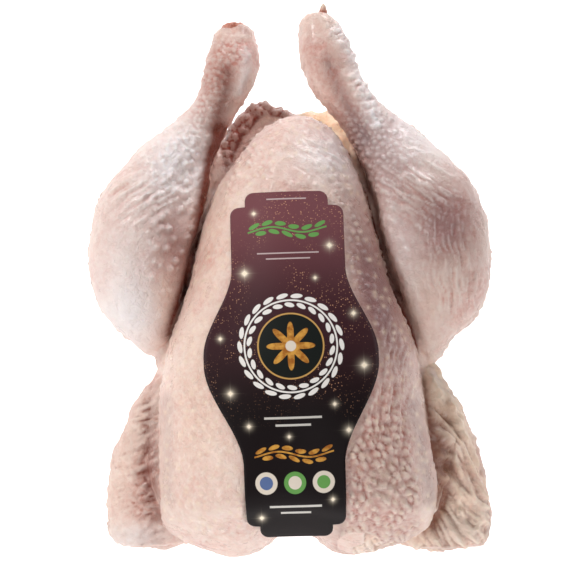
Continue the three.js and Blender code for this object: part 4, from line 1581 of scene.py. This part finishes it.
def label_material(settings):
    """Fields of colour, a speckle, soft stars, a leaf wreath round a rosette, two garlands, three
    badges and plain bars."""
    material = bpy.data.materials.new("printed_card")
    material.use_nodes = True
    n = Nodes(material.node_tree)
    shader = n.tree.nodes["Principled BSDF"]
    uv = n.add("ShaderNodeUVMap", uv_map="print").outputs[0]
    split = n.add("ShaderNodeSeparateXYZ")
    n.link(uv, split.inputs[0])
    x = n.math("MULTIPLY", split.outputs[0], 1000.0)
    y = n.math("MULTIPLY", split.outputs[1], -1000.0)
    white, pale, dark = srgb(238, 234, 230), srgb(226, 214, 200), srgb(22, 26, 24)
    green, blue, line = srgb(104, 160, 84), srgb(92, 112, 158), srgb(202, 158, 92)
    gold = n.mix(n.remap(n.noise(uv, 260.0, 4.0), 0.35, 0.65), srgb(160, 96, 36), srgb(214, 158, 72))

    base = n.mix(n.remap(y, 5, 62), settings.card_head[:], settings.card_middle[:])
    base = n.mix(n.remap(y, 56, 106), base, settings.card_foot[:])
    grain = n.add("ShaderNodeTexVoronoi", feature="F1")
    n.link(uv, grain.inputs["Vector"])
    n.feed(grain.inputs["Scale"], 1050.0)
    dot = n.remap(grain.outputs["Distance"], 0.34, 0.18)
    cloud = n.remap(n.noise(uv, 48.0, 3.0), 0.42, 0.66)
    rare = n.remap(n.split(grain.outputs["Color"])[0], 0.35, 0.55)
    gone = n.remap(y, 112, 84)
    speckle = n.math("MULTIPLY", n.math("MULTIPLY", dot, cloud), n.math("MULTIPLY", rare, gone))
    base = n.mix(n.math("MULTIPLY", speckle, 0.8), base, srgb(226, 168, 132))

    # a dark disc with a golden edge and a rosette, inside the wreath
    across = n.math("SUBTRACT", x, WREATH_AT[0])
    down = n.math("SUBTRACT", y, WREATH_AT[1])
    square = n.math("ADD", n.math("MULTIPLY", across, across), n.math("MULTIPLY", down, down))
    far = n.math("SQRT", square)
    angle = n.math("ARCTAN2", down, across)
    base = n.mix(n.remap(far, DISC_RADIUS + 0.15, DISC_RADIUS - 0.15), base, line)
    inner = DISC_RADIUS - LINE_WIDTH
    base = n.mix(n.remap(far, inner + 0.15, inner - 0.15), base, dark)
    wave = n.math("COSINE", n.math("MULTIPLY", angle, float(PETALS)))
    petal = n.math("ADD", PETAL_MIDDLE, n.math("MULTIPLY", wave, PETAL_REACH))
    base = n.mix(n.remap(n.math("SUBTRACT", far, petal), 0.3, -0.3), base, gold)
    base = n.mix(n.remap(far, 2.6, 2.2), base, pale)

    # along, across, reach of the leaves above and below, height of the waves, colour
    leaves = garland_group()
    around = n.math("MULTIPLY", angle, WREATH_RADIUS)
    outward = n.math("SUBTRACT", far, WREATH_RADIUS)
    garlands = [
        (around, outward, 99.0, 99.0, 0.0, white),
        (x, n.math("SUBTRACT", y, 18.0), 18.0, 15.0, WAVE_HEIGHT, green),
        (x, n.math("SUBTRACT", y, 121.0), 18.0, 15.0, WAVE_HEIGHT, gold),
    ]
    for *values, colour in garlands:
        node = n.add("ShaderNodeGroup", node_tree=leaves)
        for socket, value in zip(node.inputs, values):
            n.feed(socket, value)
        base = n.mix(node.outputs[0], base, colour)

    for badge_x, rim, heart in ((-13.0, pale, blue), (0.0, green, pale), (13.0, pale, green)):
        base = n.mix(n.oval(x, y, badge_x, BADGE_HEIGHT, BADGE_RADIUS, BADGE_RADIUS), base, rim)
        small = 0.6 * BADGE_RADIUS
        base = n.mix(n.oval(x, y, badge_x, BADGE_HEIGHT, small, small), base, heart)
    for bar_x, bar_y, half in BARS:
        base = n.mix(n.box(x, y, bar_x, bar_y, half, 0.5), base, srgb(206, 202, 196))
    for bar_x, bar_y, half in THIN_BARS:
        base = n.mix(n.box(x, y, bar_x, bar_y, half, 0.3), base, srgb(196, 176, 176))

    star = glint_group()
    light = 0.0
    for star_x, star_y, size in GLINTS:
        node = n.add("ShaderNodeGroup", node_tree=star)
        n.link(n.math("DIVIDE", n.math("SUBTRACT", x, float(star_x)), size), node.inputs[0])
        n.link(n.math("DIVIDE", n.math("SUBTRACT", y, float(star_y)), size), node.inputs[1])
        light = n.math("MAXIMUM", light, node.outputs[0])
    base = n.mix(light, base, srgb(255, 240, 216))
    n.link(base, shader.inputs["Base Color"])
    shader.inputs["Roughness"].default_value = 0.55
    shader.inputs["Specular IOR Level"].default_value = 0.12
    return material


# The stage

FLOOR_RADIUS, FLOOR_SIDES, FLOOR_DROP = 3000.0, 96, 0.05
FLOOR_BRIGHTER, BACKDROP = 0.45, 0.95  # what the camera sees of the floor and of the background

# Name of the light and of its power, its place and target in metres, its size and colour
LIGHTS = [
    ("key", (-0.78, 0.65, 1.05), (0, 0, 0.06), 0.25, (1.0, 0.985, 0.965)),
    ("side", (-1.05, -0.35, 0.4), (-0.03, 0, 0.06), 0.5, (1.0, 0.975, 0.94)),
    ("front", (-0.2, -1.1, 0.4), (0, -0.05, 0.05), 0.6, (1.0, 1.0, 1.0)),
    ("rim", (0.4, 1.2, 0.45), (0.03, 0.03, 0.07), 0.4, (0.97, 0.98, 1.0)),
    ("corner", (0.75, -0.9, 0.4), (0.05, -0.05, 0.04), 0.4, (1.0, 1.0, 1.0)),
    ("top", (0.3, -0.45, 1.3), (0.05, -0.02, 0.05), 0.35, (1.0, 0.98, 0.95)),
]


def aim(thing, at, target):
    """Puts the thing in the scene at a place, looking at the target."""
    thing.location = at
    thing.rotation_euler = (Vector(target) - Vector(at)).to_track_quat("-Z", "Y").to_euler()
    bpy.context.scene.collection.objects.link(thing)


def area_light(name, at, target, size, colour, power):
    """A round soft light."""
    lamp = bpy.data.lights.new(name, "AREA")
    lamp.shape = "DISK"
    lamp.size = size
    lamp.energy = power
    lamp.color = colour
    aim(bpy.data.objects.new(name, lamp), at, target)


def floor_object():
    """A flat disc just under the bird: points at even angles round a middle."""
    angle = np.linspace(0, 2 * np.pi, FLOOR_SIDES, endpoint=False)
    ring = np.stack([FLOOR_RADIUS * np.cos(angle), FLOOR_RADIUS * np.sin(angle), 0 * angle], 1)
    disc = np.vstack([[0, 0, 0], ring]) - [0, 0, FLOOR_DROP]
    k = np.arange(FLOOR_SIDES)
    fan = np.stack([0 * k, 1 + k, 1 + (k + 1) % FLOOR_SIDES], 1)
    return add_object("floor", fill_mesh("floor", disc, None, fan, smooth=False))


def floor_material(settings):
    """Pale paint with a light of its own, brighter for the camera than for the bird."""
    paint = bpy.data.materials.new("pale_floor")
    paint.use_nodes = True
    n = Nodes(paint.node_tree)
    shader = n.tree.nodes["Principled BSDF"]
    shader.inputs["Base Color"].default_value = (0.9, 0.9, 0.9, 1)
    shader.inputs["Roughness"].default_value = 0.8
    shader.inputs["Emission Color"].default_value = (1, 1, 1, 1)
    direct = n.add("ShaderNodeLightPath").outputs["Is Camera Ray"]
    glow = n.remap(direct, 0.0, 1.0, settings.floor_glow, settings.floor_glow + FLOOR_BRIGHTER)
    n.link(glow, shader.inputs["Emission Strength"])
    return paint


def studio_world(settings):
    """A dim surround that the camera sees as nearly white."""
    world = bpy.data.worlds.new("studio")
    world.use_nodes = True
    n = Nodes(world.node_tree)
    back = n.tree.nodes["Background"]
    back.inputs[0].default_value = (1.0, 0.99, 0.98, 1)
    direct = n.add("ShaderNodeLightPath").outputs["Is Camera Ray"]
    n.link(n.remap(direct, 0.0, 1.0, settings.ambient, BACKDROP), back.inputs[1])
    return world


def picture_camera():
    """A camera that sees the bird as the picture's places are given."""
    camera = bpy.data.cameras.new("camera")
    camera.sensor_width = SENSOR_WIDTH
    camera.lens = DOTS_PER_MM * VIEW_DISTANCE / PICTURE_WIDTH * SENSOR_WIDTH
    camera.clip_end = 20.0
    view = bpy.data.objects.new("camera", camera)
    target = Vector((VIEW_TARGET - FOOTPRINT_MIDDLE) * MM)
    toward = Vector((0, -np.cos(VIEW_ELEVATION), np.sin(VIEW_ELEVATION)))
    aim(view, target + toward * VIEW_DISTANCE * MM, target)
    return view


def build_stage(settings):
    """Adds the floor, the surround, the lights and the camera."""
    scene = bpy.context.scene
    scene.view_settings.view_transform = "Standard"
    floor = floor_object()
    floor.data.materials.append(floor_material(settings))
    scene.world = studio_world(settings)
    for name, at, target, size, colour in LIGHTS:
        area_light(name, at, target, size, colour, getattr(settings, name))
    scene.camera = picture_camera()


# Settings, operators and panel


def colour_property(name, description, *values):
    """A colour property whose default is given from 0 to 255, as it looks on screen."""
    return bpy.props.FloatVectorProperty(
        name=name, description=description, default=srgb(*values), size=4, min=0, max=1, subtype="COLOR"
    )


def power_property(name, description, watts):
    """A light's power, in watts."""
    return bpy.props.FloatProperty(name=name, description=description, default=watts, unit="POWER")


def length_property(name, description, metres):
    """A length, in metres."""
    return bpy.props.FloatProperty(
        name=name, description=description, default=metres, precision=5, unit="LENGTH"
    )


class ChickenSettings(bpy.types.PropertyGroup):
    voxel: length_property("Skin voxel", "Edge of the cells that fuse the skin", 0.00085)
    triangles: bpy.props.IntProperty(
        name="Skin triangles", description="Most triangles that the skin may have", default=196000
    )
    spare: bpy.props.FloatProperty(
        name="Spare the seen side",
        description="How far hidden skin is thinned before seen skin",
        default=4e-5,
        precision=6,
    )
    label_gap: length_property("Label gap", "Room between the skin and the card", 0.0006)
    label_thickness: length_property("Label thickness", "Thickness of the card", 0.0006)

    skin_pale: colour_property("Pale skin", "The lighter of the skin's two ground colours", 244, 224, 216)
    skin_deep: colour_property("Deep skin", "The darker of the skin's two ground colours", 232, 204, 195)
    # Blush also paints shade: the relief's hollows and the shaded right thigh and flank
    blush_and_shade: colour_property("Blush", "Pink in the skin", 214, 146, 134)
    # Cream also paints light on the relief's tops
    cream_and_light: colour_property("Cream", "Warm pale skin", 246, 219, 198)
    # Mauve also paints shade on the shaded flanks, thighs and lobe edges and in the shank groove
    mauve_and_shade: colour_property("Mauve", "Muscle that shows through the skin", 138, 97, 95)
    # Pallor is mostly painted light: lit tops, rims and sides, and highlights
    pallor_and_light: colour_property("Pallor", "Nearly white skin", 248, 240, 241)
    # Brown also paints shade in the creases, the grooves and the relief's hollows
    brown_and_shade: colour_property("Brown", "The bottoms of creases and folds", 116, 52, 36)
    card_head: colour_property("Card head", "Colour of the card's upper end", 118, 70, 76)
    card_middle: colour_property("Card middle", "Colour of the card's middle", 60, 31, 37)
    card_foot: colour_property("Card foot", "Colour of the card's lower end", 22, 14, 16)

    key: power_property("Key light", "Power of the far left light", 9.4)
    front: power_property("Front light", "Power of the near light", 2.6)
    side: power_property("Side light", "Power of the left light", 3.4)
    rim: power_property("Rim light", "Power of the light from behind", 8.8)
    corner: power_property("Corner light", "Power of the near right light", 3.6)
    top: power_property("Top light", "Power of the light above", 3.6)
    ambient: bpy.props.FloatProperty(name="Ambient", description="Light from all round", default=0.08)
    floor_glow: bpy.props.FloatProperty(
        name="Floor glow", description="The floor's own light", default=0.4
    )


class CHICKEN_OT_skin(bpy.types.Operator):
    """Builds the bird's skin and shows it in place of the plain solid"""

    bl_idname = "chicken.skin"
    bl_label = "Skin"

    def execute(self, context):
        settings = context.scene.chicken
        skin = fused_skin(settings)
        dress_skin(skin)
        thin_skin(skin, settings)
        skin.data.materials.append(skin_material(settings))
        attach(skin, "root")
        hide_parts("chicken")
        return {"FINISHED"}


class CHICKEN_OT_cuts(bpy.types.Operator):
    """Builds the flesh and bone in the cut ends of the shanks"""

    bl_idname = "chicken.cuts"
    bl_label = "Cut ends"

    def execute(self, context):
        flesh = flesh_material()
        for name, stations, seed in CUTS:
            cut = cut_object(name, stations, seed)
            cut.data.materials.append(flesh)
            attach(cut, "root")
            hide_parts("chicken")
        return {"FINISHED"}


class CHICKEN_OT_label(bpy.types.Operator):
    """Lays the printed card on the breast"""

    bl_idname = "chicken.label"
    bl_label = "Label"

    def execute(self, context):
        settings = context.scene.chicken
        card = label_object(settings)
        card.data.materials.append(label_material(settings))
        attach(card, "root")
        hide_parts("label")
        return {"FINISHED"}


class CHICKEN_OT_stage(bpy.types.Operator):
    """Sets the floor, the lights and the camera"""

    bl_idname = "chicken.stage"
    bl_label = "Stage"

    def execute(self, context):
        build_stage(context.scene.chicken)
        return {"FINISHED"}


class CHICKEN_PT_panel(bpy.types.Panel):
    bl_label = "Whole raw chicken"
    bl_idname = "CHICKEN_PT_panel"
    bl_space_type = "VIEW_3D"
    bl_region_type = "UI"
    bl_category = "Chicken"

    def draw(self, context):
        for operator in OPERATORS:
            self.layout.operator(operator.bl_idname)


OPERATORS = (CHICKEN_OT_skin, CHICKEN_OT_cuts, CHICKEN_OT_label, CHICKEN_OT_stage)
CLASSES = (ChickenSettings, *OPERATORS, CHICKEN_PT_panel)


def register():
    for cls in CLASSES:
        bpy.utils.register_class(cls)
    bpy.types.Scene.chicken = bpy.props.PointerProperty(type=ChickenSettings)


def unregister():
    del bpy.types.Scene.chicken
    for cls in reversed(CLASSES):
        bpy.utils.unregister_class(cls)


def main():
    register()
    bpy.ops.chicken.skin()
    bpy.ops.chicken.cuts()
    bpy.ops.chicken.label()
    bpy.ops.chicken.stage()


if __name__ == "__main__":
    main()
